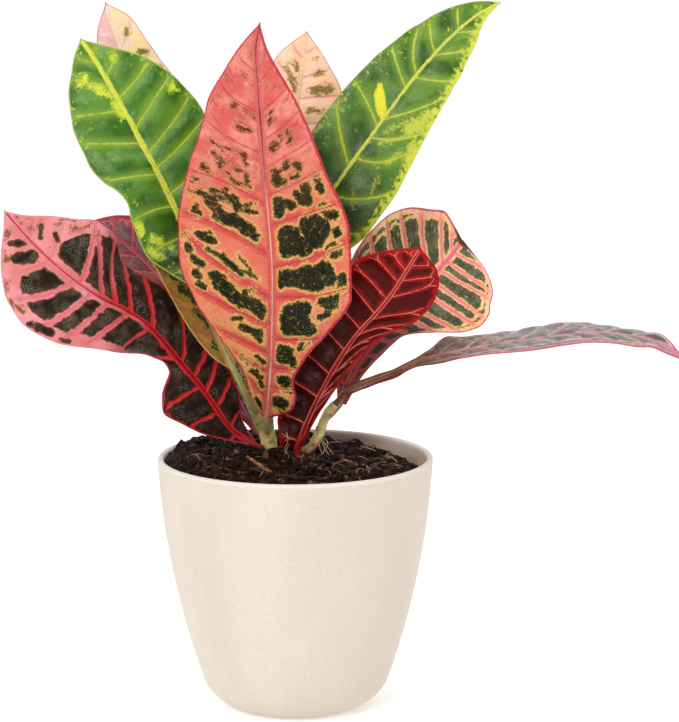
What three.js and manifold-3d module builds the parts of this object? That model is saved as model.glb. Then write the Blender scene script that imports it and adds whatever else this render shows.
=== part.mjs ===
// Potted croton: a cream pot filled with soil, two stems, ten broad leaves and a loose twig.
// Millimetres, +Z up. The origin is the middle of the pot's flat underside, and -Y is the front.
import * as THREE from 'three';
import { mergeVertices } from 'three/addons/utils/BufferGeometryUtils.js';
import Module from 'manifold-3d';

const wasm = await Module();
wasm.setup();

// Gap left between pieces that touch
const GAP = 0.3;

// Pot: a tapered wall that bulges a little, with a rounded lip and a rounded foot
const POT_HEIGHT = 128;
const POT_RIM_RADIUS = 70;
const POT_FOOT_RADIUS = 43.5;
const POT_BULGE = 5.2;
const POT_CORNER = 12.7;
const POT_WALL = 3;
const POT_FLOOR = 4;
const POT_SEGMENTS = 48;

// Soil: a mound round the stems, a slope down to the right, and higher ground behind and on the left
const SOIL_LEVEL = 120;
const SOIL_MOUND = 7;
const SOIL_MOUND_CENTRE = [-14, 22];
const SOIL_MOUND_SPREAD = 20;
const SOIL_SLOPE = 0.045;
const SOIL_ROUGHNESS = 1.1;
const SOIL_BACK_RISE = 5.5;
const SOIL_LEFT_RISE = 2.5;
const SOIL_SEGMENTS = 40;

// Blade: thickness at the midrib and at the margin, and how finely it is divided
const MIDRIB_THICKNESS = 2.4;
const MARGIN_THICKNESS = 0.9;
const BLADE_STATIONS = 22;
const BLADE_COLUMNS = 4;
const TANGENT_REACH = 5;
const SMALLEST_HALF_WIDTH = 0.5;
const LEFT_WAVE_SHIFT = 109;

const STALK_RADIUS = 1.5;
const STALK_SIDES = 8;

// Stems: points of the axis from the buried end to the top, with the radius there
const STEMS = {
  stem_left: {
    color: 0x6f7a3c,
    sides: 12,
    axis: [[-14, 22, 88], [-14, 22, 126], [-15, 21, 134], [-18, 21, 142], [-24, 21, 154], [-30, 21, 166],
      [-34, 22, 177], [-34, 23, 184]],
    radii: [3.5, 4.4, 4.2, 3.8, 3.4, 3.2, 3.1, 2.6],
  },
  stem_right: {
    color: 0x9aa04e,
    sides: 10,
    axis: [[3, 20, 92], [4, 20, 124], [8, 20, 128], [11, 20, 133], [14, 20, 141], [17, 20, 147], [20, 19, 151]],
    radii: [2.2, 2.6, 2.6, 2.6, 2.5, 2.4, 2.2],
  },
};

const TWIG = {
  color: 0x6b5442,
  sides: 8,
  axis: [[-25, 8, 125.4], [-18, -1, 122.6], [-11, -10, 119.9]],
  radii: [0.7, 1.1, 0.9],
};

// Leaves. In each list the first value of a row is the place along the midrib in percent, base to tip.
// midrib: x, y, z. left, right: half widths, seen from the base with the face towards the viewer.
// face: azimuth and elevation in degrees of the side that faces out, azimuth 0 being -Y and 90 +X.
// lift: angle in degrees at which the left and the right half leave the midrib towards that side.
// sweep: how far the left and the right margin are drawn on towards the tip.
// arch: turn in degrees of each half from midrib to margin. wave: height, number and phase in degrees.
const LEAVES = {
  leaf_front: {
    color: 0xd9696a,
    arch: -14,
    wave: [1.2, 3, 17],
    stalk: [[-15, 21, 134], [-15, 15, 139]],
    midrib: [[0, -15, 11, 145], [18, -12, -1, 180], [37, -11, -8, 218], [60, -14, -8, 265],
      [85, -18, -1, 315], [93, -19, 3, 331], [100, -17, 6, 345]],
    left: [[0, 1], [3, 6], [6, 9], [14, 15], [24, 28], [33, 39], [43, 46], [54, 44.5], [64, 39], [75, 30],
      [83, 24], [89, 15.5], [95, 6.5], [100, 0]],
    right: [[0, 1], [4, 13], [8, 15], [12, 13], [17, 17], [25, 29], [34, 40], [48, 40], [63, 30],
      [79, 20], [90, 9], [100, 0]],
    face: [[0, 0, 0], [70, 0, 11], [100, 0, 18]],
    lift: [[0, 20, 20], [12, 22, 25], [22, 17, 19], [60, 8, 13], [90, 14, 18], [100, 10, 10]],
  },
  leaf_green_left: {
    color: 0x4f8f34,
    arch: -16,
    wave: [1.6, 2.6, 69],
    stalk: [[-34, 22, 176], [-35, 17, 186], [-35, 15, 196]],
    midrib: [[0, -35, 15, 206], [17, -48, 9, 228], [50, -71, 14, 273], [75, -89, 20, 306],
      [93, -103, 26, 329], [100, -109, 30, 337]],
    left: [[0, 1], [8, 9], [17, 17], [27, 24], [37, 23], [43, 21.5], [48, 23.5], [53, 27], [60, 29],
      [70, 28], [83, 22], [93, 11.5], [100, 0]],
    right: [[0, 1], [8, 11], [18, 23], [30, 29], [50, 34], [60, 36], [72, 32], [84, 22], [93, 9], [100, 0]],
    face: [[0, 10, 4], [20, 10, 10], [70, 9, 12], [100, 4, 16]],
    lift: [[0, 14, 14], [10, 10, 10], [28, 4, 8], [37, 16, 8], [47, 24, 6], [57, 12, 6], [75, 8, 7],
      [100, 10, 10]],
  },
  leaf_pale_left: {
    color: 0xd8b98a,
    arch: -12,
    wave: [1.2, 3, 115],
    stalk: [[-19, 21, 144], [-22, 15, 149], [-25, 11, 156]],
    midrib: [[0, -32, 7, 172], [6, -37, 6, 183], [14, -44, 9, 198], [25, -52, 18, 218],
      [50, -69, 36, 264], [80, -87, 57, 320], [100, -101, 73, 356]],
    left: [[0, 2], [5, 8], [14, 14], [25, 19], [50, 22], [75, 18], [85, 14], [92, 10], [100, 0]],
    right: [[0, 2], [6, 5], [14, 8], [22, 15], [36, 24], [60, 24], [75, 21.5], [84, 15.5], [88, 13],
      [94, 9.5], [100, 0]],
    face: [[0, 20, 10], [20, 28, 16], [50, 20, 16], [100, 10, 16]],
    lift: [[0, 16, 16], [30, 10, 12], [90, 14, 14], [100, 10, 10]],
  },
  leaf_pale_back: {
    color: 0xe0b98f,
    arch: -12,
    wave: [1, 2.5, 46],
    stalk: [[-34, 22, 174], [-32, 28, 182], [-30, 32, 191]],
    midrib: [[0, -28, 34, 200], [25, -18, 48, 234], [50, -8, 60, 269], [77, 1, 72, 308], [100, 5, 83, 341]],
    left: [[0, 1], [12, 7], [26, 15], [42, 22], [60, 24], [78, 22], [90, 14], [100, 0]],
    right: [[0, 1], [12, 7], [26, 16], [42, 23], [60, 26], [78, 23], [90, 12], [100, 0]],
    face: [[0, 4, 14], [100, 4, 16]],
    lift: [[0, 14, 14], [100, 10, 10]],
  },
  leaf_green_right: {
    color: 0x5b9632,
    arch: -18,
    wave: [1.4, 3, 0],
    stalk: [[-33, 22, 170], [-27, 22, 179], [-25, 22, 191]],
    midrib: [[0, -25, 22, 203], [22, 3, 23, 239], [50, 37, 29, 286], [75, 68, 40, 326],
      [92, 93, 51, 349], [100, 106, 58, 356]],
    left: [[0, 1], [10, 9], [20, 18], [32, 25], [50, 26], [75, 19], [86, 13], [94, 6.5], [100, 0]],
    right: [[0, 1], [10, 11], [20, 20], [32, 28], [42, 28], [50, 26], [62, 22.5], [75, 18.5], [86, 12],
      [94, 4], [100, 0]],
    face: [[0, 8, 10], [30, 12, 16], [100, 12, 18]],
    lift: [[0, 14, 14], [40, 8, 14], [80, 8, 16], [100, 8, 10]],
  },
  leaf_dark_left: {
    color: 0x5a2a30,
    arch: -14,
    wave: [1.3, 3, 34],
    stalk: [[-14, 22, 130], [-18, 19, 130]],
    midrib: [[0, -22, 17, 130], [8, -33, 15, 138], [20, -45, 12, 156], [35, -60, 4, 177],
      [50, -75, -8, 197], [70, -102, -24, 216], [88, -126, -31, 239], [100, -140, -30, 255]],
    left: [[0, 1], [8, 7], [14, 15], [20, 21], [25, 24], [29, 19], [33, 8], [36, 7], [39, 9.5], [46, 15.5],
      [56, 22.5], [64, 27], [70, 31], [76, 32.5], [82, 29.5], [88, 21.5], [92, 14.5], [96, 6.5], [100, 0]],
    right: [[0, 2], [8, 8], [16, 15], [28, 21], [46, 24], [60, 26], [70, 30.5], [79, 29.5], [86, 21.5],
      [90, 16], [96, 5], [100, 0]],
    face: [[0, -10, 38], [28, -12, 44], [60, -20, 39], [100, -20, 28]],
    lift: [[0, 10, 10], [14, 13, 5], [22, 6, 2], [28, -10, 0], [33, -38, 0], [38, -38, 1],
      [46, -19, 3], [60, -1, 8], [85, 7, 12], [100, 10, 10]],
  },
  leaf_plum_left: {
    color: 0x7d4558,
    arch: -12,
    wave: [1.2, 3, 57],
    stalk: [[-14, 22, 132], [-18, 27, 132]],
    midrib: [[0, -22, 30, 135], [25, -39, 42, 165], [50, -58, 50, 194], [75, -82, 60, 221],
      [90, -99, 66, 234], [100, -111, 69, 241]],
    left: [[0, 1], [15, 8], [30, 13], [55, 14], [75, 12], [90, 6], [100, 0]],
    right: [[0, 1], [15, 8], [30, 14], [50, 22], [68, 25], [82, 20], [92, 11], [100, 0]],
    face: [[0, 10, 30], [50, 3, 30], [100, -8, 30]],
    lift: [[0, 12, 12], [100, 12, 12]],
  },
  leaf_red: {
    color: 0x8e1f26,
    arch: 14,
    wave: [1, 3, 138],
    stalk: [[5, 20, 127], [3, 15, 128.5]],
    midrib: [[0, 0.5, 12, 129], [20, 10, 7, 153], [50, 28, -2, 186], [75, 47, -11, 210], [90, 56, -17, 225],
      [100, 62, -21, 236]],
    left: [[0, 8], [5, 11.5], [10, 15], [22, 18], [45, 22], [65, 24], [80, 24], [87, 20], [94, 11], [100, 0]],
    right: [[0, 2], [10, 3], [35, 7], [50, 9], [64, 13], [75, 19], [83, 20], [90, 18], [95, 13], [100, 0]],
    face: [[0, -14, -8], [35, -26, -14], [65, -26, -20], [100, -10, -32]],
    lift: [[0, -6, -8], [25, -6, -26], [45, -6, -34], [75, -7, -18], [92, -12, -12], [100, -8, -8]],
    sweep: [[0, -4.5, 0], [8, -3.5, 0], [25, 0, 0], [100, 0, 0]],
  },
  leaf_stripe_right: {
    color: 0xb98a6a,
    arch: -14,
    wave: [1.2, 3, 52],
    stalk: [[15, 20, 143], [19, 26, 145]],
    midrib: [[0, 23, 32, 149], [16, 30, 39, 164], [40, 46, 47, 185], [70, 68, 60, 208],
      [88, 81, 69, 221], [100, 89, 77, 230]],
    left: [[0, 2], [8, 9], [18, 21], [30, 35], [55, 41], [72, 38.5], [80, 33.5], [88, 23.5], [94, 16.5],
      [100, 0]],
    right: [[0, 3], [16, 6.5], [34, 9], [48, 21], [60, 34], [67, 37.5], [74, 36.5], [80, 33], [86, 30.5],
      [92, 25], [96, 18], [100, 0]],
    face: [[0, 10, 28], [60, 1, 25], [88, 0, 10], [100, 0, 0]],
    lift: [[0, 14, 14], [50, 10, 8], [88, 5, 5], [100, 0, 0]],
    sweep: [[0, 0, 0], [12, 10, 7], [28, 24, 8], [50, 24, 7], [80, 18, 5], [93, 15, 2], [100, 0, 0]],
  },
  leaf_long_right: {
    color: 0x8c8486,
    arch: -6,
    wave: [0.7, 3, 0],
    stalk: [[19, 20, 149], [22, 18, 153]],
    midrib: [[0, 26, 16, 158], [13, 46, 9, 167], [30, 75, 3, 179], [39, 91, 1, 183], [50, 111, 0, 186],
      [72, 152, -2, 191], [86, 178, -3, 188.5], [94, 191, -5, 181.5], [100, 200, -6, 175]],
    left: [[0, 3], [15, 2.5], [22, 4], [26, 10.5], [31, 31], [36, 34], [50, 35], [62, 34], [80, 25],
      [87, 17], [91, 7.5], [94, 3], [100, 0]],
    right: [[0, 3], [15, 6], [25, 8], [32, 16], [38, 21], [50, 24], [62, 23], [80, 20], [86, 13],
      [90, 7], [94, 3], [100, 0]],
    face: [[0, 40, 30], [12, 35, 48], [28, 5, 81], [36, 0, 86], [86, 0, 85], [94, 0, 63], [100, 0, 50]],
    lift: [[0, 30, 30], [12, 33, 33], [20, 26, 26], [28, 7, 4], [36, 1, 3], [60, 0, 5], [84, -2, -2],
      [90, 5, -3], [100, 8, 8]],
  },
};

// Closed three.js geometry to a solid, and back

function toSolid(geometry) {
  const bare = geometry.clone();
  bare.deleteAttribute('normal');
  bare.deleteAttribute('uv');
  const merged = mergeVertices(bare, 1e-4);
  return new wasm.Manifold(new wasm.Mesh({
    numProp: 3,
    vertProperties: new Float32Array(merged.attributes.position.array),
    triVerts: new Uint32Array(merged.index.array),
  }));
}

function toGeometry(solid) {
  const mesh = solid.getMesh();
  const geometry = new THREE.BufferGeometry();
  geometry.setAttribute('position', new THREE.BufferAttribute(mesh.vertProperties, 3));
  geometry.setIndex(new THREE.BufferAttribute(mesh.triVerts, 1));
  geometry.computeVertexNormals();
  return geometry;
}

function meshOf(name, geometry, color, roughness) {
  const material = new THREE.MeshStandardMaterial({ color, roughness, metalness: 0 });
  const mesh = new THREE.Mesh(geometry, material);
  mesh.name = name;
  return mesh;
}

// Pot and soil, both turned about the pot's axis

function potRadius(z) {
  const t = 1 - z / POT_HEIGHT;
  const wall = THREE.MathUtils.lerp(POT_RIM_RADIUS, POT_FOOT_RADIUS, t) + POT_BULGE * 4 * t * (1 - t);
  if (z >= POT_CORNER) {
    return wall;
  }
  return wall - POT_CORNER + Math.sqrt(POT_CORNER ** 2 - (POT_CORNER - z) ** 2);
}

// Heights from the foot to a level: close together round the corner, wider up the wall
function wallHeights(from, to) {
  const corner = [0, 0.08, 0.27, 0.58, 1].map((share) => POT_CORNER * share).filter((z) => z > from);
  const steps = 6;
  const wall = Array.from({ length: steps }, (_, i) => THREE.MathUtils.lerp(POT_CORNER, to, (i + 1) / steps));
  return [from, ...corner, ...wall];
}

function turned(profile, segments) {
  const points = profile.map(([radius, z]) => new THREE.Vector2(radius, z));
  const geometry = new THREE.LatheGeometry(points, segments);
  geometry.rotateX(Math.PI / 2);
  return geometry;
}

function potGeometry() {
  const lip = POT_WALL / 2;
  const lipLevel = POT_HEIGHT - lip;
  const lipCentre = potRadius(POT_HEIGHT) - lip;
  const outside = wallHeights(0, lipLevel).map((z) => [potRadius(z), z]);
  const round = [45, 90, 135].map(THREE.MathUtils.degToRad)
    .map((a) => [lipCentre + lip * Math.cos(a), lipLevel + lip * Math.sin(a)]);
  const inside = wallHeights(POT_FLOOR, lipLevel).reverse().map((z) => [potRadius(z) - POT_WALL, z]);
  return turned([[0, 0], ...outside, ...round, ...inside, [0, POT_FLOOR]], POT_SEGMENTS);
}

function soilHeight(x, y) {
  const [cx, cy] = SOIL_MOUND_CENTRE;
  const mound = SOIL_MOUND * Math.exp(-((x - cx) ** 2 + (y - cy) ** 2) / (2 * SOIL_MOUND_SPREAD ** 2));
  const lumps = Math.sin(x * 0.31 + 1.3) * Math.cos(y * 0.27) + 0.6 * Math.sin(x * 0.13 - y * 0.41 + 2);
  const { smoothstep } = THREE.MathUtils;
  const back = SOIL_BACK_RISE * smoothstep(y, 12, 52) * (1 - 0.7 * smoothstep(x, 5, 55));
  const left = SOIL_LEFT_RISE * smoothstep(-x, 25, 60);
  return SOIL_LEVEL + mound + back + left - SOIL_SLOPE * x + SOIL_ROUGHNESS * lumps;
}

function soilGeometry() {
  const edge = (z) => potRadius(z) - POT_WALL - GAP;
  const floor = POT_FLOOR + GAP;
  const side = wallHeights(floor, SOIL_LEVEL).map((z) => [edge(z), z]);
  const rim = edge(SOIL_LEVEL);
  const rings = 9;
  const top = Array.from({ length: rings }, (_, i) => [rim * (1 - (i + 1) / rings), SOIL_LEVEL]);
  const geometry = turned([[0, floor], ...side, ...top], SOIL_SEGMENTS);
  const position = geometry.attributes.position;
  for (let i = 0; i < position.count; i += 1) {
    if (position.getZ(i) > SOIL_LEVEL - 0.01) {
      const x = position.getX(i);
      const y = position.getY(i);
      const z = soilHeight(x, y);
      const fit = Math.min(1, edge(z) / Math.max(Math.hypot(x, y), 1));
      position.setXYZ(i, x * fit, y * fit, z);
    }
  }
  return geometry;
}

// Tube with flat ends whose radius changes along the way

function taperedTube(points, radii, sides) {
  const curve = new THREE.CatmullRomCurve3(points.map((p) => new THREE.Vector3(...p)), false, 'centripetal');
  const rings = (points.length - 1) * 2;
  const frames = curve.computeFrenetFrames(rings, false);
  const vertices = [];
  const faces = [];
  for (let i = 0; i <= rings; i += 1) {
    const place = curve.getPoint(i / rings);
    const share = i / 2;
    const from = Math.floor(share);
    const radius = THREE.MathUtils.lerp(radii[from], radii[Math.min(from + 1, radii.length - 1)], share - from);
    for (let j = 0; j < sides; j += 1) {
      const angle = (j / sides) * 2 * Math.PI;
      const out = frames.normals[i].clone().multiplyScalar(Math.cos(angle) * radius)
        .addScaledVector(frames.binormals[i], Math.sin(angle) * radius);
      vertices.push(place.x + out.x, place.y + out.y, place.z + out.z);
    }
  }
  for (let i = 0; i < rings; i += 1) {
    for (let j = 0; j < sides; j += 1) {
      const a = i * sides + j;
      const b = i * sides + ((j + 1) % sides);
      faces.push(a, b, a + sides, b, b + sides, a + sides);
    }
  }
  const end = rings * sides;
  for (let j = 1; j < sides - 1; j += 1) {
    faces.push(0, j + 1, j, end, end + j, end + j + 1);
  }
  const geometry = new THREE.BufferGeometry();
  geometry.setAttribute('position', new THREE.Float32BufferAttribute(vertices, 3));
  geometry.setIndex(faces);
  return geometry;
}

// Leaves

// Values of a list at a percentage of the midrib, joined by cubics that never overshoot a row
function along(rows, percent) {
  const last = rows.length - 1;
  const found = rows.findIndex((row) => row[0] > percent);
  const i = found < 0 ? last - 1 : Math.max(found - 1, 0);
  const gap = (k) => rows[k + 1][0] - rows[k][0];
  const slope = (k, c) => (rows[k + 1][c] - rows[k][c]) / gap(k);
  const tangent = (k, c) => {
    if (k === 0 || k === last) {
      return slope(Math.min(k, last - 1), c);
    }
    const before = slope(k - 1, c);
    const after = slope(k, c);
    const spread = 3 * (gap(k - 1) + gap(k));
    const weighted = (2 * gap(k) + gap(k - 1)) / before + (gap(k) + 2 * gap(k - 1)) / after;
    return before * after > 0 ? spread / weighted : 0;
  };
  const s = (percent - rows[i][0]) / gap(i);
  const blend = [2 * s ** 3 - 3 * s ** 2 + 1, s ** 3 - 2 * s ** 2 + s, 3 * s ** 2 - 2 * s ** 3, s ** 3 - s ** 2];
  return rows[i].slice(1).map((value, index) => {
    const c = index + 1;
    return blend[0] * value + blend[1] * gap(i) * tangent(i, c)
      + blend[2] * rows[i + 1][c] + blend[3] * gap(i) * tangent(i + 1, c);
  });
}

// Place on the midrib with its direction, the direction of the right margin and the outward side
function midribFrame(leaf, percent) {
  const before = new THREE.Vector3(...along(leaf.midrib, Math.max(percent - TANGENT_REACH, 0)));
  const after = new THREE.Vector3(...along(leaf.midrib, Math.min(percent + TANGENT_REACH, 100)));
  const forward = after.sub(before).normalize();
  const [azimuth, elevation] = along(leaf.face, percent).map(THREE.MathUtils.degToRad);
  const level = Math.cos(elevation);
  const facing = new THREE.Vector3(Math.sin(azimuth) * level, -Math.cos(azimuth) * level, Math.sin(elevation));
  const side = forward.clone().cross(facing).normalize();
  const out = side.clone().cross(forward).normalize();
  return { place: new THREE.Vector3(...along(leaf.midrib, percent)), forward, side, out };
}

// Middle of the blade at a place across it, -1 at the left margin to 1 at the right one, and its normal
function bladePoint(leaf, frame, percent, across) {
  const half = across < 0 ? 0 : 1;
  const sign = across < 0 ? -1 : 1;
  const reach = Math.abs(across);
  const profile = across < 0 ? leaf.left : leaf.right;
  const width = Math.max(along(profile, percent)[0], SMALLEST_HALF_WIDTH);
  const lift = THREE.MathUtils.degToRad(along(leaf.lift, percent)[half]);
  const arch = THREE.MathUtils.degToRad(leaf.arch);
  const angle = lift + arch * reach;
  const sideways = (Math.sin(angle) - Math.sin(lift)) / arch;
  const outwards = (Math.cos(lift) - Math.cos(angle)) / arch;
  const [height, number, phase] = leaf.wave;
  const shift = across < 0 ? LEFT_WAVE_SHIFT : 0;
  const turn = THREE.MathUtils.degToRad(3.6 * number * percent + phase + shift);
  const wave = height * Math.sin(turn) * reach ** 2 * Math.min(width / 20, 1);
  const sweep = leaf.sweep ? along(leaf.sweep, percent)[half] * reach ** 1.5 : 0;
  const point = frame.place.clone()
    .addScaledVector(frame.side, sign * sideways * width)
    .addScaledVector(frame.out, outwards * width + wave)
    .addScaledVector(frame.forward, sweep);
  const normal = frame.side.clone().multiplyScalar(-sign * Math.sin(angle)).addScaledVector(frame.out, Math.cos(angle));
  return { point, normal };
}

// Both faces are divided alike, so that they never cross where the blade is waved
function bladeGeometry(leaf) {
  const columns = 2 * BLADE_COLUMNS + 1;
  const count = BLADE_STATIONS * columns;
  const upper = [];
  const lower = [];
  for (let i = 0; i < BLADE_STATIONS; i += 1) {
    const percent = (100 * i) / (BLADE_STATIONS - 1);
    const frame = midribFrame(leaf, percent);
    for (let j = 0; j < columns; j += 1) {
      const across = j / BLADE_COLUMNS - 1;
      const { point, normal } = bladePoint(leaf, frame, percent, across);
      const swell = (MIDRIB_THICKNESS - MARGIN_THICKNESS) * (1 - Math.abs(across)) ** 2 * (1 - percent / 100);
      const half = (MARGIN_THICKNESS + swell) / 2;
      upper.push(...point.clone().addScaledVector(normal, half).toArray());
      lower.push(...point.clone().addScaledVector(normal, -half).toArray());
    }
  }
  const faces = [];
  for (let i = 0; i < BLADE_STATIONS - 1; i += 1) {
    for (let j = 0; j < columns - 1; j += 1) {
      const a = i * columns + j;
      const b = a + 1;
      const c = a + columns;
      const d = c + 1;
      faces.push(a, b, d, a, d, c);
      faces.push(a + count, d + count, b + count, a + count, c + count, d + count);
    }
  }
  const wall = (a, b) => faces.push(b, a, a + count, b, a + count, b + count);
  for (let i = 0; i < BLADE_STATIONS - 1; i += 1) {
    wall((i + 1) * columns, i * columns);
    wall(i * columns + columns - 1, (i + 2) * columns - 1);
  }
  for (let j = 0; j < columns - 1; j += 1) {
    wall(j, j + 1);
    wall((BLADE_STATIONS - 1) * columns + j + 1, (BLADE_STATIONS - 1) * columns + j);
  }
  const geometry = new THREE.BufferGeometry();
  geometry.setAttribute('position', new THREE.Float32BufferAttribute([...upper, ...lower], 3));
  geometry.setIndex(faces);
  return geometry;
}

// The stalk runs from the stem's axis into the base of the blade
function leafSolid(leaf) {
  const points = [...leaf.stalk, along(leaf.midrib, 0), along(leaf.midrib, TANGENT_REACH)];
  const radii = points.map((_, i) => STALK_RADIUS * (i === points.length - 1 ? 0.5 : 1));
  return toSolid(bladeGeometry(leaf)).add(toSolid(taperedTube(points, radii, STALK_SIDES)));
}

// Stem, twig or the room it needs in its neighbour

function branchSolid(branch, extra = 0) {
  const radii = branch.radii.map((radius) => radius + extra);
  return toSolid(taperedTube(branch.axis, radii, branch.sides));
}

function potSubGroup() {
  const group = new THREE.Group();
  group.add(meshOf('pot', potGeometry(), 0xefe6d8, 0.75));
  let soil = toSolid(soilGeometry());
  for (const branch of [...Object.values(STEMS), TWIG]) {
    soil = soil.subtract(branchSolid(branch, GAP));
  }
  group.add(meshOf('soil', toGeometry(soil), 0x2e211b, 0.95));
  group.add(meshOf('twig', toGeometry(branchSolid(TWIG)), TWIG.color, 0.85));
  return group;
}

function plantSubGroup() {
  const group = new THREE.Group();
  for (const [name, stem] of Object.entries(STEMS)) {
    group.add(meshOf(name, toGeometry(branchSolid(stem)), stem.color, 0.55));
  }
  for (const [name, leaf] of Object.entries(LEAVES)) {
    let solid = leafSolid(leaf);
    for (const stem of Object.values(STEMS)) {
      solid = solid.subtract(branchSolid(stem, GAP));
    }
    group.add(meshOf(name, toGeometry(solid), leaf.color, 0.4));
  }
  return group;
}

const croton = new THREE.Group();
croton.add(potSubGroup(), plantSubGroup());

export default croton;
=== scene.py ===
import math

import bmesh
import bpy
import numpy as np
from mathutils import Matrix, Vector


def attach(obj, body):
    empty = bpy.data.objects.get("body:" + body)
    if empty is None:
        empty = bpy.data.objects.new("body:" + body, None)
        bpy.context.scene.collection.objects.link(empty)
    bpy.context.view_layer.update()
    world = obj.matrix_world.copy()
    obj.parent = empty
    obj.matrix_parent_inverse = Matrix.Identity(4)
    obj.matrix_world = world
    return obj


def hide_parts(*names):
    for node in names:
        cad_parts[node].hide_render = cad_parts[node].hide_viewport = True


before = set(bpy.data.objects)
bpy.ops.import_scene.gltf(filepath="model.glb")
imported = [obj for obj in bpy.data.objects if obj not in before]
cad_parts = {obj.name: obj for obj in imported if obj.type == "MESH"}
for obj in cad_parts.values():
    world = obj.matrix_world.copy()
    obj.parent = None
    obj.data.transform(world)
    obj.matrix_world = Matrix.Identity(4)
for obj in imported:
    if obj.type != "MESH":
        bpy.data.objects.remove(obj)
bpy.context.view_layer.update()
print("frame loaded with", len(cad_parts), "nodes")

mm = 0.001
scene = bpy.context.scene
halves = ("left", "right")

# ---- small helpers for meshes and node trees

paintShare = 0.8  # the light is bright, so colours are darker than they look on screen


def tint(red, green, blue):  # a colour read as 0..255 on screen, made linear
    values = np.array([red, green, blue]) / 255
    linear = np.where(values <= 0.04045, values / 12.92, ((values + 0.055) / 1.055) ** 2.4)
    return (*(linear * paintShare).tolist(), 1.0)


class Wire:  # an output socket that can be used in sums, so that a node tree reads like a formula
    def __init__(self, socket):
        self.socket, self.tree = socket, socket.id_data

    def math(self, operation, *others):
        return newNode(self.tree, "ShaderNodeMath", self, *others, operation=operation)

    def __add__(self, other): return self.math("ADD", other)
    def __sub__(self, other): return self.math("SUBTRACT", other)
    def __mul__(self, other): return self.math("MULTIPLY", other)
    def __truediv__(self, other): return self.math("DIVIDE", other)
    def __pow__(self, other): return self.math("POWER", other)
    def least(self, other): return self.math("MINIMUM", other)
    def most(self, other): return self.math("MAXIMUM", other)
    def size(self): return self.math("ABSOLUTE")

    def ramp(self, low, high, start=0.0, end=1.0):  # 0 below low, 1 above high, smooth between
        return newNode(self.tree, "ShaderNodeMapRange", self, low, high, start, end, interpolation_type="SMOOTHSTEP")

    def fall(self, low, high):  # 1 below low, 0 above high
        return self.ramp(low, high, 1.0, 0.0)


def plug(value, socket):
    if isinstance(value, Wire):
        value.tree.links.new(value.socket, socket)
    else:
        socket.default_value = value


def newNode(tree, kind, *values, output=0, **named):  # names in small letters are settings, the others are inputs
    node = tree.nodes.new(kind)
    for name in filter(str.islower, named):
        setattr(node, name, named[name])
    for socket, value in zip(node.inputs, values):
        if value is not None:
            plug(value, socket)
    for name in named:
        if not name.islower():
            plug(named[name], node.inputs[name.replace("_", " ")])
    return Wire(node.outputs[output])


def combine(x, y, z):
    return newNode(x.tree, "ShaderNodeCombineXYZ", x, y, z)


def axes(vector):  # its x, y and z
    node = newNode(vector.tree, "ShaderNodeSeparateXYZ", vector).socket.node
    return [Wire(socket) for socket in node.outputs]


def vectorMath(operation, vector, other):
    return newNode(vector.tree, "ShaderNodeVectorMath", vector, other, operation=operation)


def scaled(vector, factor):
    return newNode(vector.tree, "ShaderNodeVectorMath", vector, operation="SCALE", Scale=factor)


def noise(place, scale, detail=2.0, roughness=0.5, output=0):
    return newNode(place.tree, "ShaderNodeTexNoise", Vector=place, Scale=scale, Detail=detail, Roughness=roughness,
                   output=output)


def wander(place, scale, detail, reach, roughness=0.5):  # noise to both sides of zero
    return (noise(place, scale, detail, roughness) - 0.5) * reach


def mixed(amount, first, second):  # colour between two others
    return newNode(amount.tree, "ShaderNodeMix", amount, *[None] * 5, first, second, data_type="RGBA", output=2)


def attribute(tree, name):
    return newNode(tree, "ShaderNodeAttribute", attribute_name=name, output="Fac")


def newMaterial(name):
    material = bpy.data.materials.new(name)
    material.use_nodes = True
    return material, material.node_tree


def objectPlace(tree):
    return newNode(tree, "ShaderNodeTexCoord", output="Object")


def finished(material, colour, roughness, height, bumpDepth, gloss=0.3):
    tree = material.node_tree
    bump = newNode(tree, "ShaderNodeBump", Strength=1.0, Distance=bumpDepth, Height=height)
    for name, value in (("Base Color", colour), ("Roughness", roughness), ("Specular IOR Level", gloss),
                        ("Normal", bump)):
        plug(value, tree.nodes["Principled BSDF"].inputs[name])
    return material


def newMesh(name, points, quads, attributes=None, slots=None):
    mesh = bpy.data.meshes.new(name)
    points, quads = np.asarray(points, np.float32), np.asarray(quads, np.int32)
    mesh.vertices.add(len(points))
    mesh.vertices.foreach_set("co", points.ravel())
    mesh.loops.add(quads.size)
    mesh.loops.foreach_set("vertex_index", quads.ravel())
    mesh.polygons.add(len(quads))
    mesh.polygons.foreach_set("loop_start", np.arange(0, quads.size, 4, dtype=np.int32))
    mesh.polygons.foreach_set("loop_total", np.full(len(quads), 4, np.int32))
    mesh.polygons.foreach_set("use_smooth", np.ones(len(quads), bool))
    if slots is not None:
        mesh.polygons.foreach_set("material_index", np.asarray(slots, np.int32))
    mesh.update(calc_edges=True)
    for key, values in (attributes or {}).items():
        layer = mesh.attributes.new(key, "FLOAT", "POINT")
        layer.data.foreach_set("value", np.asarray(values, np.float32).ravel())
    mesh.validate()
    return mesh


def addPiece(name, mesh, materials, replaced=()):
    piece = bpy.data.objects.new(name, mesh)
    scene.collection.objects.link(piece)
    for material in materials:
        mesh.materials.append(material)
    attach(piece, "root")
    if replaced:
        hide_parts(*replaced)
    print(name, "made:", len(mesh.polygons), "faces")


def unit(vectors):
    return vectors / np.maximum(np.linalg.norm(vectors, axis=-1, keepdims=True), 1e-9)


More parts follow.
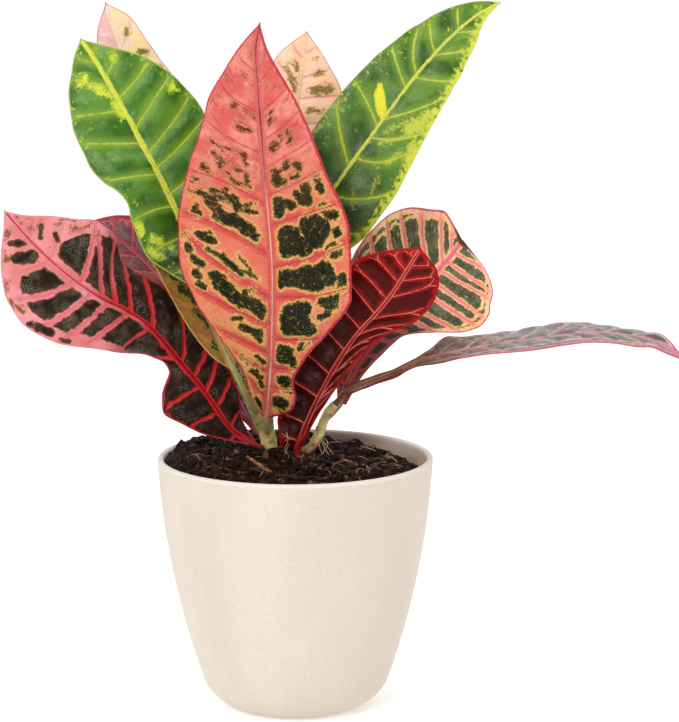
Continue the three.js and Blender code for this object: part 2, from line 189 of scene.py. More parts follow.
def softNoise(x, y, cell, seed):  # smooth random values, about -1..1, on a plane
    grid = np.random.default_rng(seed).uniform(-1, 1, (64, 64))
    x, y = np.asarray(x) / cell + 1000, np.asarray(y) / cell + 1000
    column, row = np.floor(x).astype(int), np.floor(y).astype(int)
    s, t = x - column, y - row
    s, t = s * s * (3 - 2 * s), t * t * (3 - 2 * t)
    at = lambda i, j: grid[(row + j) % 64, (column + i) % 64]
    low = at(0, 0) * (1 - s) + at(1, 0) * s
    high = at(0, 1) * (1 - s) + at(1, 1) * s
    return low * (1 - t) + high * t


def smoothPath(points, count):  # centripetal curve through points, open ended
    points = np.array(points, float)
    ends = np.vstack([2 * points[0] - points[1], points, 2 * points[-1] - points[-2]])
    out = []
    for place in np.linspace(0, len(points) - 1, count):
        i = min(int(place), len(points) - 2)
        p = ends[i:i + 4]
        steps = np.maximum(np.linalg.norm(np.diff(p, axis=0), axis=1) ** 0.5, 1e-6)
        k = np.concatenate([[0], np.cumsum(steps)])
        t = k[1] + (place - i) * (k[2] - k[1])
        a = [(k[j + 1] - t) / (k[j + 1] - k[j]) * p[j] + (t - k[j]) / (k[j + 1] - k[j]) * p[j + 1] for j in range(3)]
        b = [(k[j + 2] - t) / (k[j + 2] - k[j]) * a[j] + (t - k[j]) / (k[j + 2] - k[j]) * a[j + 1] for j in range(2)]
        out.append((k[2] - t) / (k[2] - k[1]) * b[0] + (t - k[1]) / (k[2] - k[1]) * b[1])
    return np.array(out)


def ringQuads(rows, sides):  # faces between rows of points that each run round
    row, here = np.meshgrid(np.arange(rows - 1) * sides, np.arange(sides), indexing="ij")
    there = (here + 1) % sides
    return np.stack([row + here, row + there, row + sides + there, row + sides + here], -1).reshape(-1, 4)


def fanQuads(middle, first, sides, flip):  # faces that close a row round its middle point
    i = np.arange(0, sides, 2)
    fan = np.stack([np.full_like(i, middle), first + i, first + i + 1, first + (i + 2) % sides], -1)
    return fan[:, ::-1] if flip else fan


def closedQuads(rows, sides):  # faces of rows of points that each run round, closed by a middle point at both ends
    total = rows * sides
    return np.vstack([ringQuads(rows, sides), fanQuads(total, 0, sides, True),
                      fanQuads(total + 1, total - sides, sides, False)])


def alongPath(values, count):  # values at even steps along a path
    return np.interp(np.linspace(0, len(values) - 1, count), np.arange(len(values)), values)


def tubeGrid(path, radii, sides):  # points and faces of a closed tube, and the way out from its path
    forward = unit(np.gradient(path, axis=0))
    across = np.zeros_like(path)
    across[0] = unit(np.cross(forward[0], [0.3, 1.0, 0.2]))
    for i in range(1, len(path)):
        across[i] = unit(across[i - 1] - forward[i] * np.dot(across[i - 1], forward[i]))
    angle = np.linspace(0, 2 * math.pi, sides, endpoint=False)[None, :, None]
    out = across[:, None] * np.cos(angle) + np.cross(forward, across)[:, None] * np.sin(angle)
    radii = np.broadcast_to(np.asarray(radii, float).reshape(len(path), -1), (len(path), sides))
    points = (path[:, None] + out * radii[:, :, None]).reshape(-1, 3)
    return np.vstack([points, path[[0, -1]]]), closedQuads(len(path), sides), out


# ---- leaves: the same lists as the solids', in millimetres and percent of the midrib

leafShapes = {
    "leaf_front": {
        "arch": -14, "wave": (1.2, 3, 17), "stalk": [[-15, 21, 134], [-15, 15, 139]],
        "midrib": [[0, -15, 11, 145], [18, -12, -1, 180], [37, -11, -8, 218], [60, -14, -8, 265], [85, -18, -1, 315],
                   [93, -19, 3, 331], [100, -17, 6, 345]],
        "left": [[0, 1], [3, 6], [6, 9], [14, 15], [24, 28], [33, 39], [43, 46], [54, 44.5], [64, 39], [75, 30],
                 [83, 24], [89, 15.5], [95, 6.5], [100, 0]],
        "right": [[0, 1], [4, 13], [8, 15], [12, 13], [17, 17], [25, 29], [34, 40], [48, 40], [63, 30], [79, 20],
                  [90, 9], [100, 0]],
        "face": [[0, 0, 0], [70, 0, 11], [100, 0, 18]],
        "lift": [[0, 20, 20], [12, 22, 25], [22, 17, 19], [60, 8, 13], [90, 14, 18], [100, 10, 10]],
    },
    "leaf_green_left": {
        "arch": -16, "wave": (1.6, 2.6, 69), "stalk": [[-34, 22, 176], [-35, 17, 186], [-35, 15, 196]],
        "midrib": [[0, -35, 15, 206], [17, -48, 9, 228], [50, -71, 14, 273], [75, -89, 20, 306], [93, -103, 26, 329],
                   [100, -109, 30, 337]],
        "left": [[0, 1], [8, 9], [17, 17], [27, 24], [37, 23], [43, 21.5], [48, 23.5], [53, 27], [60, 29], [70, 28],
                 [83, 22], [93, 11.5], [100, 0]],
        "right": [[0, 1], [8, 11], [18, 23], [30, 29], [50, 34], [60, 36], [72, 32], [84, 22], [93, 9], [100, 0]],
        "face": [[0, 10, 4], [20, 10, 10], [70, 9, 12], [100, 4, 16]],
        "lift": [[0, 14, 14], [10, 10, 10], [28, 4, 8], [37, 16, 8], [47, 24, 6], [57, 12, 6], [75, 8, 7],
                 [100, 10, 10]],
    },
    "leaf_pale_left": {
        "arch": -12, "wave": (1.2, 3, 115), "stalk": [[-19, 21, 144], [-22, 15, 149], [-25, 11, 156]],
        "midrib": [[0, -32, 7, 172], [6, -37, 6, 183], [14, -44, 9, 198], [25, -52, 18, 218], [50, -69, 36, 264],
                   [80, -87, 57, 320], [100, -101, 73, 356]],
        "left": [[0, 2], [5, 8], [14, 14], [25, 19], [50, 22], [75, 18], [85, 14], [92, 10], [100, 0]],
        "right": [[0, 2], [6, 5], [14, 8], [22, 15], [36, 24], [60, 24], [75, 21.5], [84, 15.5], [88, 13], [94, 9.5],
                  [100, 0]],
        "face": [[0, 20, 10], [20, 28, 16], [50, 20, 16], [100, 10, 16]],
        "lift": [[0, 16, 16], [30, 10, 12], [90, 14, 14], [100, 10, 10]],
    },
    "leaf_pale_back": {
        "arch": -12, "wave": (1, 2.5, 46), "stalk": [[-34, 22, 174], [-32, 28, 182], [-30, 32, 191]],
        "midrib": [[0, -28, 34, 200], [25, -18, 48, 234], [50, -8, 60, 269], [77, 1, 72, 308], [100, 5, 83, 341]],
        "left": [[0, 1], [12, 7], [26, 15], [42, 22], [60, 24], [78, 22], [90, 14], [100, 0]],
        "right": [[0, 1], [12, 7], [26, 16], [42, 23], [60, 26], [78, 23], [90, 12], [100, 0]],
        "face": [[0, 4, 14], [100, 4, 16]], "lift": [[0, 14, 14], [100, 10, 10]],
    },
    "leaf_green_right": {
        "arch": -18, "wave": (1.4, 3, 0), "stalk": [[-33, 22, 170], [-27, 22, 179], [-25, 22, 191]],
        "midrib": [[0, -25, 22, 203], [22, 3, 23, 239], [50, 37, 29, 286], [75, 68, 40, 326], [92, 93, 51, 349],
                   [100, 106, 58, 356]],
        "left": [[0, 1], [10, 9], [20, 18], [32, 25], [50, 26], [75, 19], [86, 13], [94, 6.5], [100, 0]],
        "right": [[0, 1], [10, 11], [20, 20], [32, 28], [42, 28], [50, 26], [62, 22.5], [75, 18.5], [86, 12], [94, 4],
                  [100, 0]],
        "face": [[0, 8, 10], [30, 12, 16], [100, 12, 18]],
        "lift": [[0, 14, 14], [40, 8, 14], [80, 8, 16], [100, 8, 10]],
    },
    "leaf_dark_left": {
        "arch": -14, "wave": (1.3, 3, 34), "stalk": [[-14, 22, 130], [-18, 19, 130]], "sunk": 2,
        "midrib": [[0, -22, 17, 130], [8, -33, 15, 138], [20, -45, 12, 156], [35, -60, 4, 177], [50, -75, -8, 197],
                   [70, -102, -24, 216], [88, -126, -31, 239], [100, -140, -30, 255]],
        "left": [[0, 1], [8, 7], [14, 15], [20, 21], [25, 24], [29, 19], [33, 8], [36, 7], [39, 9.5], [46, 15.5],
                 [56, 22.5], [64, 27], [70, 31], [76, 32.5], [82, 29.5], [88, 21.5], [92, 14.5], [96, 6.5], [100, 0]],
        "right": [[0, 2], [8, 8], [16, 15], [28, 21], [46, 24], [60, 26], [70, 30.5], [79, 29.5], [86, 21.5],
                  [90, 16], [96, 5], [100, 0]],
        "face": [[0, -10, 38], [28, -12, 44], [60, -20, 39], [100, -20, 28]],
        "lift": [[0, 10, 10], [14, 13, 5], [22, 6, 2], [28, -10, 0], [33, -38, 0], [38, -38, 1], [46, -19, 3],
                 [60, -1, 8], [85, 7, 12], [100, 10, 10]],
    },
    "leaf_plum_left": {
        "arch": -12, "wave": (1.2, 3, 57), "stalk": [[-14, 22, 132], [-18, 27, 132]],
        "midrib": [[0, -22, 30, 135], [25, -39, 42, 165], [50, -58, 50, 194], [75, -82, 60, 221], [90, -99, 66, 234],
                   [100, -111, 69, 241]],
        "left": [[0, 1], [15, 8], [30, 13], [55, 14], [75, 12], [90, 6], [100, 0]],
        "right": [[0, 1], [15, 8], [30, 14], [50, 22], [68, 25], [82, 20], [92, 11], [100, 0]],
        "face": [[0, 10, 30], [50, 3, 30], [100, -8, 30]], "lift": [[0, 12, 12], [100, 12, 12]],
    },
    "leaf_red": {
        "arch": 14, "wave": (1, 3, 138), "stalk": [[5, 20, 127], [3, 15, 128.5]], "sunk": 13,
        "midrib": [[0, 0.5, 12, 129], [20, 10, 7, 153], [50, 28, -2, 186], [75, 47, -11, 210], [90, 56, -17, 225],
                   [100, 62, -21, 236]],
        "left": [[0, 8], [5, 11.5], [10, 15], [22, 18], [45, 22], [65, 24], [80, 24], [87, 20], [94, 11], [100, 0]],
        "right": [[0, 2], [10, 3], [35, 7], [50, 9], [64, 13], [75, 19], [83, 20], [90, 18], [95, 13], [100, 0]],
        "face": [[0, -14, -8], [35, -26, -14], [65, -26, -20], [100, -10, -32]],
        "lift": [[0, -6, -8], [25, -6, -26], [45, -6, -34], [75, -7, -18], [92, -12, -12], [100, -8, -8]],
        "sweep": [[0, -4.5, 0], [8, -3.5, 0], [25, 0, 0], [100, 0, 0]],
    },
    "leaf_stripe_right": {
        "arch": -14, "wave": (1.2, 3, 52), "stalk": [[15, 20, 143], [19, 26, 145]],
        "midrib": [[0, 23, 32, 149], [16, 30, 39, 164], [40, 46, 47, 185], [70, 68, 60, 208], [88, 81, 69, 221],
                   [100, 89, 77, 230]],
        "left": [[0, 2], [8, 9], [18, 21], [30, 35], [55, 41], [72, 38.5], [80, 33.5], [88, 23.5], [94, 16.5],
                 [100, 0]],
        "right": [[0, 3], [16, 6.5], [34, 9], [48, 21], [60, 34], [67, 37.5], [74, 36.5], [80, 33], [86, 30.5],
                  [92, 25], [96, 18], [100, 0]],
        "face": [[0, 10, 28], [60, 1, 25], [88, 0, 10], [100, 0, 0]],
        "lift": [[0, 14, 14], [50, 10, 8], [88, 5, 5], [100, 0, 0]],
        "sweep": [[0, 0, 0], [12, 10, 7], [28, 24, 8], [50, 24, 7], [80, 18, 5], [93, 15, 2], [100, 0, 0]],
    },
    "leaf_long_right": {
        "arch": -6, "wave": (0.7, 3, 0), "stalk": [[19, 20, 149], [22, 18, 153]],
        "midrib": [[0, 26, 16, 158], [13, 46, 9, 167], [30, 75, 3, 179], [39, 91, 1, 183], [50, 111, 0, 186],
                   [72, 152, -2, 191], [86, 178, -3, 188.5], [94, 191, -5, 181.5], [100, 200, -6, 175]],
        "left": [[0, 3], [15, 2.5], [22, 4], [26, 10.5], [31, 31], [36, 34], [50, 35], [62, 34], [80, 25], [87, 17],
                 [91, 7.5], [94, 3], [100, 0]],
        "right": [[0, 3], [15, 6], [25, 8], [32, 16], [38, 21], [50, 24], [62, 23], [80, 20], [86, 13], [90, 7],
                  [94, 3], [100, 0]],
        "face": [[0, 40, 30], [12, 35, 48], [28, 5, 81], [36, 0, 86], [86, 0, 85], [94, 0, 63], [100, 0, 50]],
        "lift": [[0, 30, 30], [12, 33, 33], [20, 26, 26], [28, 7, 4], [36, 1, 3], [60, 0, 5], [84, -2, -2],
                 [90, 5, -3], [100, 8, 8]],
    },
}

# Side veins of each leaf as rows of: place on the midrib in percent, rise towards the tip at the margin, bow.
# Blots and flecks as rows of: percent and place across (-100 left margin, 100 right) of both ends, radius in mm.


def evenVeins(first, last, step, rise, bow=0):
    return [[p, rise, bow] for p in np.arange(first, last, step).tolist()]


leafVeins = {
    "leaf_front": {
        "left": [[5.5, 4, 3], [12.5, 4, 3], [18, 5, 3], [25.5, 6, 5.5], [32.5, 12, 8], [43, 19, -6], [55.5, 16, -6],
                 [68, 8, 2], [78, 7, 2], [88, 5, 0]],
        "right": [[4, -1, 0], [9, 1, 0], [14.3, 1, 0], [22.3, 0.3, 1], [33.3, -1, 4], [40.3, 3.5, 2], [50.8, 4, 0],
                  [57.8, 5, 1], [64.5, 6, 0], [71, 6, 1], [78, 6, 0], [85, 5, 0]],
        "blots": [[63, 20, 61, 20, 2.8], [61, 26, 61, 32, 1.3], [65, 40, 64, 38, 1.7], [65, 56, 64, 60, 1.7],
                  [62, 44, 62, 52, 1.1], [56, 16, 54, 14, 3.2], [56, 28, 55, 34, 2], [60, 60, 56, 56, 2.6],
                  [58, 46, 56, 50, 1.8], [50, 54, 49, 62, 5.5], [48, 22, 48, 28, 4.2], [62, 82, 61, 80, 1.6],
                  [60, 82, 58, 80, 1.7], [54, 74, 52, 84, 2.2], [69, 20, 70, 28, 1.8], [73, 54, 72, 54, 1.1],
                  [72, 60, 70, 54, 1.1], [72, 38, 71, 40, 0.7], [78, 30, 75, 20, 0.6], [76, 36, 76, 34, 0.5],
                  [85, 34, 84, 28, 0.5], [60, -78, 58, -62, 2], [58, -66, 54, -50, 2.2], [60, -66, 60, -46, 1.5],
                  [60, -48, 58, -46, 1.2], [58, -40, 56, -34, 2.4], [55, -30, 54, -14, 1.1], [56, -30, 56, -14, 0.6],
                  [59, -58, 58, -52, 1.4], [54, -58, 52, -42, 1.8], [53, -40, 50, -22, 2.8], [50, -30, 48, -16, 1.8],
                  [63, -88, 63, -86, 1.6], [61, -92, 60, -88, 0.8], [66, -80, 64, -70, 1.8], [56, -82, 55, -78, 1.7],
                  [57, -80, 57, -80, 1.5], [69, -70, 65, -54, 0.8], [65, -54, 62, -38, 0.8], [62, -38, 60, -20, 0.7],
                  [63, -24, 62, -22, 1.4], [72, -76, 70, -58, 0.8], [70, -52, 68, -28, 0.7], [68, -26, 66, -24, 0.9],
                  [66, -42, 64, -30, 0.6], [68, -60, 66, -48, 0.5], [80, -46, 80, -46, 1.7], [79, -30, 77, -10, 0.4],
                  [75, -38, 74, -20, 1.3], [50, -78, 48, -62, 1.7], [50, -72, 50, -66, 0.9], [50, -94, 50, -92, 1.5],
                  [47, -90, 46, -88, 1.7], [44, -84, 42, -76, 1.7], [40, -84, 39, -82, 1.8], [37, -86, 36, -82, 1.4],
                  [46, -68, 44, -54, 1], [44, -54, 39, -36, 1.5], [44, -36, 40, -24, 0.3], [40, -32, 38, -18, 0.5],
                  [39, -66, 38, -58, 2.4], [37, -62, 32, -40, 3.2], [33, -38, 30, -18, 3.2], [32, -20, 28, -16, 1.4],
                  [34, -46, 35, -24, 0.7], [28, -60, 28, -48, 0.8], [26, -50, 24, -24, 1.9], [24, -36, 22, -24, 0.9],
                  [18, -78, 16, -70, 1], [18, -42, 16, -20, 0.8], [14, -66, 12, -36, 1], [14, -50, 9, -34, 0.8],
                  [6, -68, 0, -100, 0.8], [46, 18, 44, 20, 2.6], [46, 34, 45, 42, 4.2], [48, 56, 47, 58, 4.4],
                  [44, 16, 44, 32, 1.3], [44, 78, 44, 80, 3.3], [48, 84, 48, 84, 1.9], [38, 20, 38, 32, 3.8],
                  [38, 44, 38, 56, 5.5], [40, 66, 38, 72, 3.4], [39, 12, 36, 12, 1.1], [38, 88, 36, 88, 1.7],
                  [33, 64, 34, 78, 2.4], [32, 74, 32, 80, 2], [29, 70, 30, 78, 1.1], [30, 24, 31, 46, 3],
                  [28, 24, 28, 48, 3.4], [26, 24, 25, 30, 2.2], [26, 42, 26, 64, 3.2], [20, 26, 20, 46, 2],
                  [18, 32, 18, 56, 2.4], [18, 64, 16, 76, 1.4], [22, 66, 21, 68, 1.2], [22, 74, 22, 76, 0.9],
                  [12, 50, 12, 70, 2.2], [10, 60, 10, 82, 1.6], [6, 36, 6, 60, 2.6], [4, 36, 4, 56, 2.2]],
    },
    "leaf_green_left": {
        "left": [[7, 1, 0], [16, 1, 0], [26, 0, 0], [36, 5, -4], [47.5, 5, 0.5], [59, 8, 1], [71.5, 6, 0], [81, 9, 0],
                 [90, 6, 0]],
        "right": [[5, 2, 0], [13, 2, 0], [22, 3, 2], [31, 3, 3], [40, 4, 3], [49.5, 5, 3.5], [55, 10, 2],
                  [64, 14, -3], [75.5, 6, 1], [84, 8, 0], [92, 5, 0]],
        "blots": [[35, -90, 33, -88, 1.6], [29, -68, 27, -62, 1.6], [24, -46, 24, -47, 0.8], [26, -84, 24, -78, 1.6],
                  [71, 84, 71, 85, 1.8], [88, 50, 89, 54, 1], [76, -10, 70, -8, 1.2], [84, -44, 81, -18, 1.2],
                  [86, -58, 87, -50, 1.4], [80, -30, 78, -14, 1]],
    },
    "leaf_pale_left": {
        "left": evenVeins(4, 96, 9, 6, 1), "right": evenVeins(6, 96, 9, 6, 1),
        "blots": [[90, 46, 91, 52, 1.5], [84, 58, 84, 66, 1.9], [79, 74, 79, 78, 1.1], [22, -60, 18, -26, 2.4],
                  [16, -44, 12, -24, 1.8], [8, -44, 6, -40, 1.4], [9, 24, 6, 48, 0.9], [27, -74, 23, -54, 1.3],
                  [31, -50, 28, -20, 2.2], [38, -64, 36, -30, 2.2], [34, 30, 38, 60, 2.4], [46, 24, 49, 64, 2.4],
                  [48, -60, 45, -22, 2], [58, -56, 55, -22, 1.8], [60, 26, 63, 62, 2], [70, -50, 67, -26, 1.4],
                  [25, 24, 28, 56, 1.6], [74, 24, 76, 50, 1.4]],
    },
    "leaf_pale_back": {
        "left": [[8, 8, 0], [18, 8, 0], [28, 9, 0], [38, 10, 1], [48, 10, 1], [58, 10, 2], [69, 10, 2], [80, 9, 0],
                 [90, 6, 0]],
        "right": [[6, 3, 0], [16, 3, 0], [26, 4, 0], [36, 4, 0], [46, 4, 0], [56, 4, 0], [66, 4, 0], [75.5, 3, 0],
                  [83, 4, 0], [92, 3, 0]],
        "blots": [[88, -32, 86, -16, 2], [86, -48, 80, -18, 1.5], [82, -20, 78, -12, 1.1], [90, 56, 90, 60, 0.9],
                  [85, 48, 85, 62, 1.7], [79, 30, 80, 70, 2.2], [72, 28, 72, 56, 1.2], [62, 24, 63, 62, 2.2],
                  [51, 24, 52, 60, 2.4], [41, 24, 42, 58, 2.2], [66, -50, 61, -20, 1.8], [56, -56, 50, -20, 2],
                  [45, -54, 40, -22, 2], [31, 26, 32, 54, 1.8], [34, -50, 30, -24, 1.6], [76, -50, 71, -20, 1.3]],
    },
    "leaf_green_right": {
        "left": [[9, 3, 0], [20, 5, 2], [31, 7, 2], [42, 9, 2.5], [54, 8, -2], [66, 6, 0], [70.5, 5, 6], [77.5, 4, 2],
                 [86, 4, 0], [93, 3, 0]],
        "right": [[5, 2, 2], [13, 2, 2], [24, 2, 6], [34, 2, 8], [45, 0, 12], [51, 4, 6], [56.5, 11, 4], [69.5, 4, 2],
                  [77, 8, 0], [85, 6, 0], [92, 4, 0]],
        "blots": [[60.4, -36, 58, -16, 2.7], [62.4, -48, 56.6, -4, 1.3], [61.2, -40, 57.4, -12, 2.2]],
        "flecks": [[58, 60, 60, 70, 4.6], [54, 20, 61, 56, 1.5], [51, 24, 56, 60, 1.3], [59, 70, 64, 80, 3.6],
                   [55, 84, 52, 92, 4], [46, 20, 46, 46, 0.6], [88, 70, 86, 74, 1.8], [66, 90, 62, 92, 1.6],
                   [76, 92, 74, 94, 1.6], [48, 56, 52, 66, 1.8], [40, 60, 44, 56, 1], [34, 50, 38, 30, 0.8],
                   [47, -92, 42, -96, 1.2], [56, -86, 52, -92, 1]],
    },
    "leaf_dark_left": {
        "left": [[6, 1, 0], [14.5, 2.5, 0], [24, 4.5, -2], [35, 4, 0], [47, 7, 0], [55.5, 10, 0], [62.5, 8, -1],
                 [68, 6.5, 0], [74, 6, 4], [82, 5, 2], [90, 4, 0]],
        "right": [[9, 2, 0], [16, 4, 0], [21.5, 5, 0], [27.5, 3, 0], [33, 6, 10], [46.5, 10, -2.5], [55, 5.5, 0],
                  [60, 7, 4], [64.5, 8, 9], [72, 4, 4], [82, 5, 0], [90, 4, 0]],
        "blots": [[90, 54, 88, 26, 1], [86, 50, 84, 40, 0.9], [92, -54, 90, -20, 1.4], [88, -50, 86, -18, 2.6],
                  [74, -90, 72, -88, 2], [76, -94, 76, -95, 1.3], [69, -93, 68, -93, 1]],
    },
    "leaf_plum_left": {
        "left": evenVeins(5, 96, 8, 7, 2), "right": evenVeins(9, 96, 8, 7, 2),
    },
    "leaf_red": {
        "left": [[3, 1, 0], [11, 1, 0], [23, 1, 0], [34, 2, 0], [46, 3, 0], [57, 2, 0], [66, 3, 0], [74, 4, 0],
                 [83, 5, 0], [89, 5, 0], [95, 3, 0]],
        "right": [[8, 16, 0], [20, 18, 0], [32, 19, 0], [43, 19, 0], [53, 18, -2], [62.5, 18, -2], [75.5, 15, 3],
                  [84.5, 10, 0], [92, 5, 0]],
    },
    "leaf_stripe_right": {
        "left": [[8, 1, 0], [16, 2, 0], [26, 4, 0], [36, 5, 0], [46, 6, 0], [56, 8, 0], [66, 9, -1], [75, 11, -2],
                 [84, 14, -6], [91.5, 9, -2]],
        "right": [[9, -2, 0], [18, -3, 0], [27, -4, 0], [36, -4, 0], [44, -4, 0], [52, -3, 0], [58, -1, 0],
                  [67, -2, -1], [73, 2, -5], [80, 2.5, 0], [86, 0.5, 0], [92, 3, 0]],
    },
    "leaf_long_right": {
        "left": evenVeins(6, 96, 7.5, 9, 0), "right": evenVeins(9, 97, 7.5, 9, 0),
    },
}

# How the dark cells between the veins fill a leaf, in mm: half of the band left at a side vein, the space kept
# at the midrib and at the margin, each as rows of percent, left, right. ring: where the vein that joins
# the side veins runs, as a share of the half width. shrink: how much a cell may be smaller than it could.
# grow: the cells are the blotches above, this much larger, cut at the bands.
leafCells = {
    "leaf_front": {
        "grow": 0.6, "band": [[0, 0.5, 0.8], [20, 0.7, 1.1], [60, 0.7, 1.2], [100, 0.7, 1]],
        "rib": [[0, 1.2, 1.6], [20, 2.4, 2.6], [40, 3.2, 3.2], [60, 2.8, 2.8], [80, 1.6, 1.6], [100, 1, 1]],
        "rim": [[0, 1, 1], [100, 1, 1]], "ring": 0.8, "scallop": 0.1, "ringBand": 0, "shrink": 0,
    },
    "leaf_dark_left": {
        "band": [[0, 1.1, 1.1], [30, 1.2, 1.6], [60, 1.4, 1.7], [80, 1.5, 1.8], [100, 6, 6]],
        "rib": [[0, 1.6, 1.4], [50, 2.2, 1.8], [75, 4, 3.5], [100, 6, 6]],
        "rim": [[0, 1, 1], [40, 0.8, 0.8], [60, 4.5, 0.8], [70, 7, 2.5], [80, 7.5, 8], [84, 9, 14], [88, 30, 30],
                [100, 30, 30]],
        "ring": 0.9, "scallop": 0.05, "ringBand": 0.5, "shrink": 0.3,
    },
    "leaf_plum_left": {
        "band": [[0, 0.9, 0.9], [100, 0.9, 0.9]], "rib": [[0, 1.2, 1.2], [100, 1, 1]],
        "rim": [[0, 2.5, 3], [100, 2.5, 3]], "ring": 0.66, "scallop": 0.12, "ringBand": 0.6, "shrink": 0.4,
    },
    "leaf_red": {
        "band": [[0, 1.2, 1], [60, 1.3, 1.2], [100, 2, 1.4]], "rib": [[0, 1.4, 0.8], [60, 1.6, 1.2], [100, 2.2, 1.6]],
        "rim": [[0, 1.6, 0.4], [60, 2, 1.4], [100, 3, 3]], "ring": 0.95, "scallop": 0.02, "ringBand": 0.1,
        "shrink": 0.5,
    },
    "leaf_stripe_right": {
        "band": [[0, 1, 1], [60, 1.75, 1.6], [100, 1.4, 1.3]], "rib": [[0, 2, 2], [60, 2.8, 2.6], [100, 2, 2]],
        "rim": [[0, 1.8, 1.8], [60, 2.9, 2.8], [100, 2.4, 2.4]], "ring": 0.8, "scallop": 0.06, "ringBand": 0.7,
        "shrink": 0.35,
    },
    "leaf_long_right": {
        "band": [[0, 0.5, 0.5], [30, 0.7, 0.7], [100, 0.9, 0.9]], "rib": [[0, 0.6, 0.6], [100, 1, 1]],
        "rim": [[0, 0.6, 0.6], [30, 1.2, 1.2], [100, 2.4, 2.4]], "ring": 0.74, "scallop": 0.06, "ringBand": 0.7,
        "shrink": 0.5,
    },
}

bladeMesh = {
    "alongStep": 0.95,      # mm between stations
    "columns": 56,          # columns in each half blade, closer together at the midrib
    "marginHalf": 0.26,     # half thickness at the margin, mm
    "midribExtra": 0.45,    # added half thickness at the midrib of the base
    "quilt": 1.0,           # how far the blade rises between its side veins
    "pucker": 0.5,          # slow unevenness
    "ridge": 1.5,           # height of the midrib under the blade at its base
    "sideRidge": 0.3,
    "nibble": 0.3,          # unevenness of the margin
    "stalkRings": 44, "stalkSides": 14,
}
outside = -9.0  # depth in mm of a point that lies in no cell
mostCells = 40  # side veins that a half can have


def rowsAt(rows, percent):  # values at each percent, joined by cubics that never overshoot a row
    table = np.array(rows, float)
    places, values = table[:, 0], table[:, 1:]
    gaps = np.diff(places)[:, None]
    slopes = np.diff(values, axis=0) / gaps
    tangents = np.zeros_like(values)
    tangents[0], tangents[-1] = slopes[0], slopes[-1]
    before, after = slopes[:-1], slopes[1:]
    weightBefore, weightAfter = 2 * gaps[1:] + gaps[:-1], gaps[1:] + 2 * gaps[:-1]
    with np.errstate(divide="ignore", invalid="ignore"):
        inner = (weightBefore + weightAfter) / (weightBefore / before + weightAfter / after)
    tangents[1:-1] = np.where(before * after > 0, inner, 0)
    index = np.clip(np.searchsorted(places, percent, side="right") - 1, 0, len(places) - 2)
    step = gaps[index]
    s = (np.asarray(percent)[:, None] - places[index][:, None]) / step
    return ((2 * s**3 - 3 * s**2 + 1) * values[index] + (s**3 - 2 * s**2 + s) * step * tangents[index]
            + (3 * s**2 - 2 * s**3) * values[index + 1] + (s**3 - s**2) * step * tangents[index + 1])


def bladeSurface(shape, percent, across, nibble=0):  # middle of the blade and its normal, stations by columns
    forward = unit(rowsAt(shape["midrib"], np.minimum(percent + 5, 100))
                   - rowsAt(shape["midrib"], np.maximum(percent - 5, 0)))
    azimuth, elevation = np.radians(rowsAt(shape["face"], percent)).T
    level = np.cos(elevation)
    facing = np.stack([np.sin(azimuth) * level, -np.cos(azimuth) * level, np.sin(elevation)], -1)
    side = unit(np.cross(forward, facing))
    out = unit(np.cross(side, forward))
    half = (across >= 0).astype(int)
    sign, reach = 2 * half - 1, np.abs(across)[None, :]
    widths = np.hstack([rowsAt(shape[key], percent) for key in halves])
    width = np.maximum(np.maximum(widths, 0.5) + nibble, 0.4)[:, half]
    lift = np.radians(rowsAt(shape["lift"], percent))[:, half]
    arch = math.radians(shape["arch"])
    angle = lift + arch * reach
    sideways = (np.sin(angle) - np.sin(lift)) / arch
    outwards = (np.cos(lift) - np.cos(angle)) / arch
    height, number, phase = shape["wave"]
    shift = 109 * (1 - half)  # the halves' waves don't meet at the midrib
    wave = height * np.sin(np.radians(3.6 * number * percent[:, None] + phase + shift)) * reach**2
    wave = wave * np.minimum(width / 20, 1)
    sweep = rowsAt(shape.get("sweep", [[0, 0, 0], [100, 0, 0]]), percent)[:, half] * reach**1.5
    points = (rowsAt(shape["midrib"], percent)[:, None] + side[:, None] * (sign * sideways * width)[..., None]
              + out[:, None] * (outwards * width + wave)[..., None] + forward[:, None] * sweep[..., None])
    normals = side[:, None] * (-sign * np.sin(angle))[..., None] + out[:, None] * np.cos(angle)[..., None]
    return points, normals, width


def blotDepth(rows, shape, place, length):  # mm inside the nearest of the listed blots
    depth = np.full(place.shape[:2], outside)
    for p1, q1, p2, q2, radius in rows:
        start, end = (np.array([q / 100 * rowsAt(shape[halves[q >= 0]], np.array([float(p)]))[0, 0],
                                p / 100 * length]) for p, q in ((p1, q1), (p2, q2)))
        run, away = end - start, place - start
        t = np.clip(away @ run / max(run @ run, 1e-6), 0, 1)
        depth = np.maximum(depth, radius - np.linalg.norm(away - t[..., None] * run, axis=-1))
    return depth


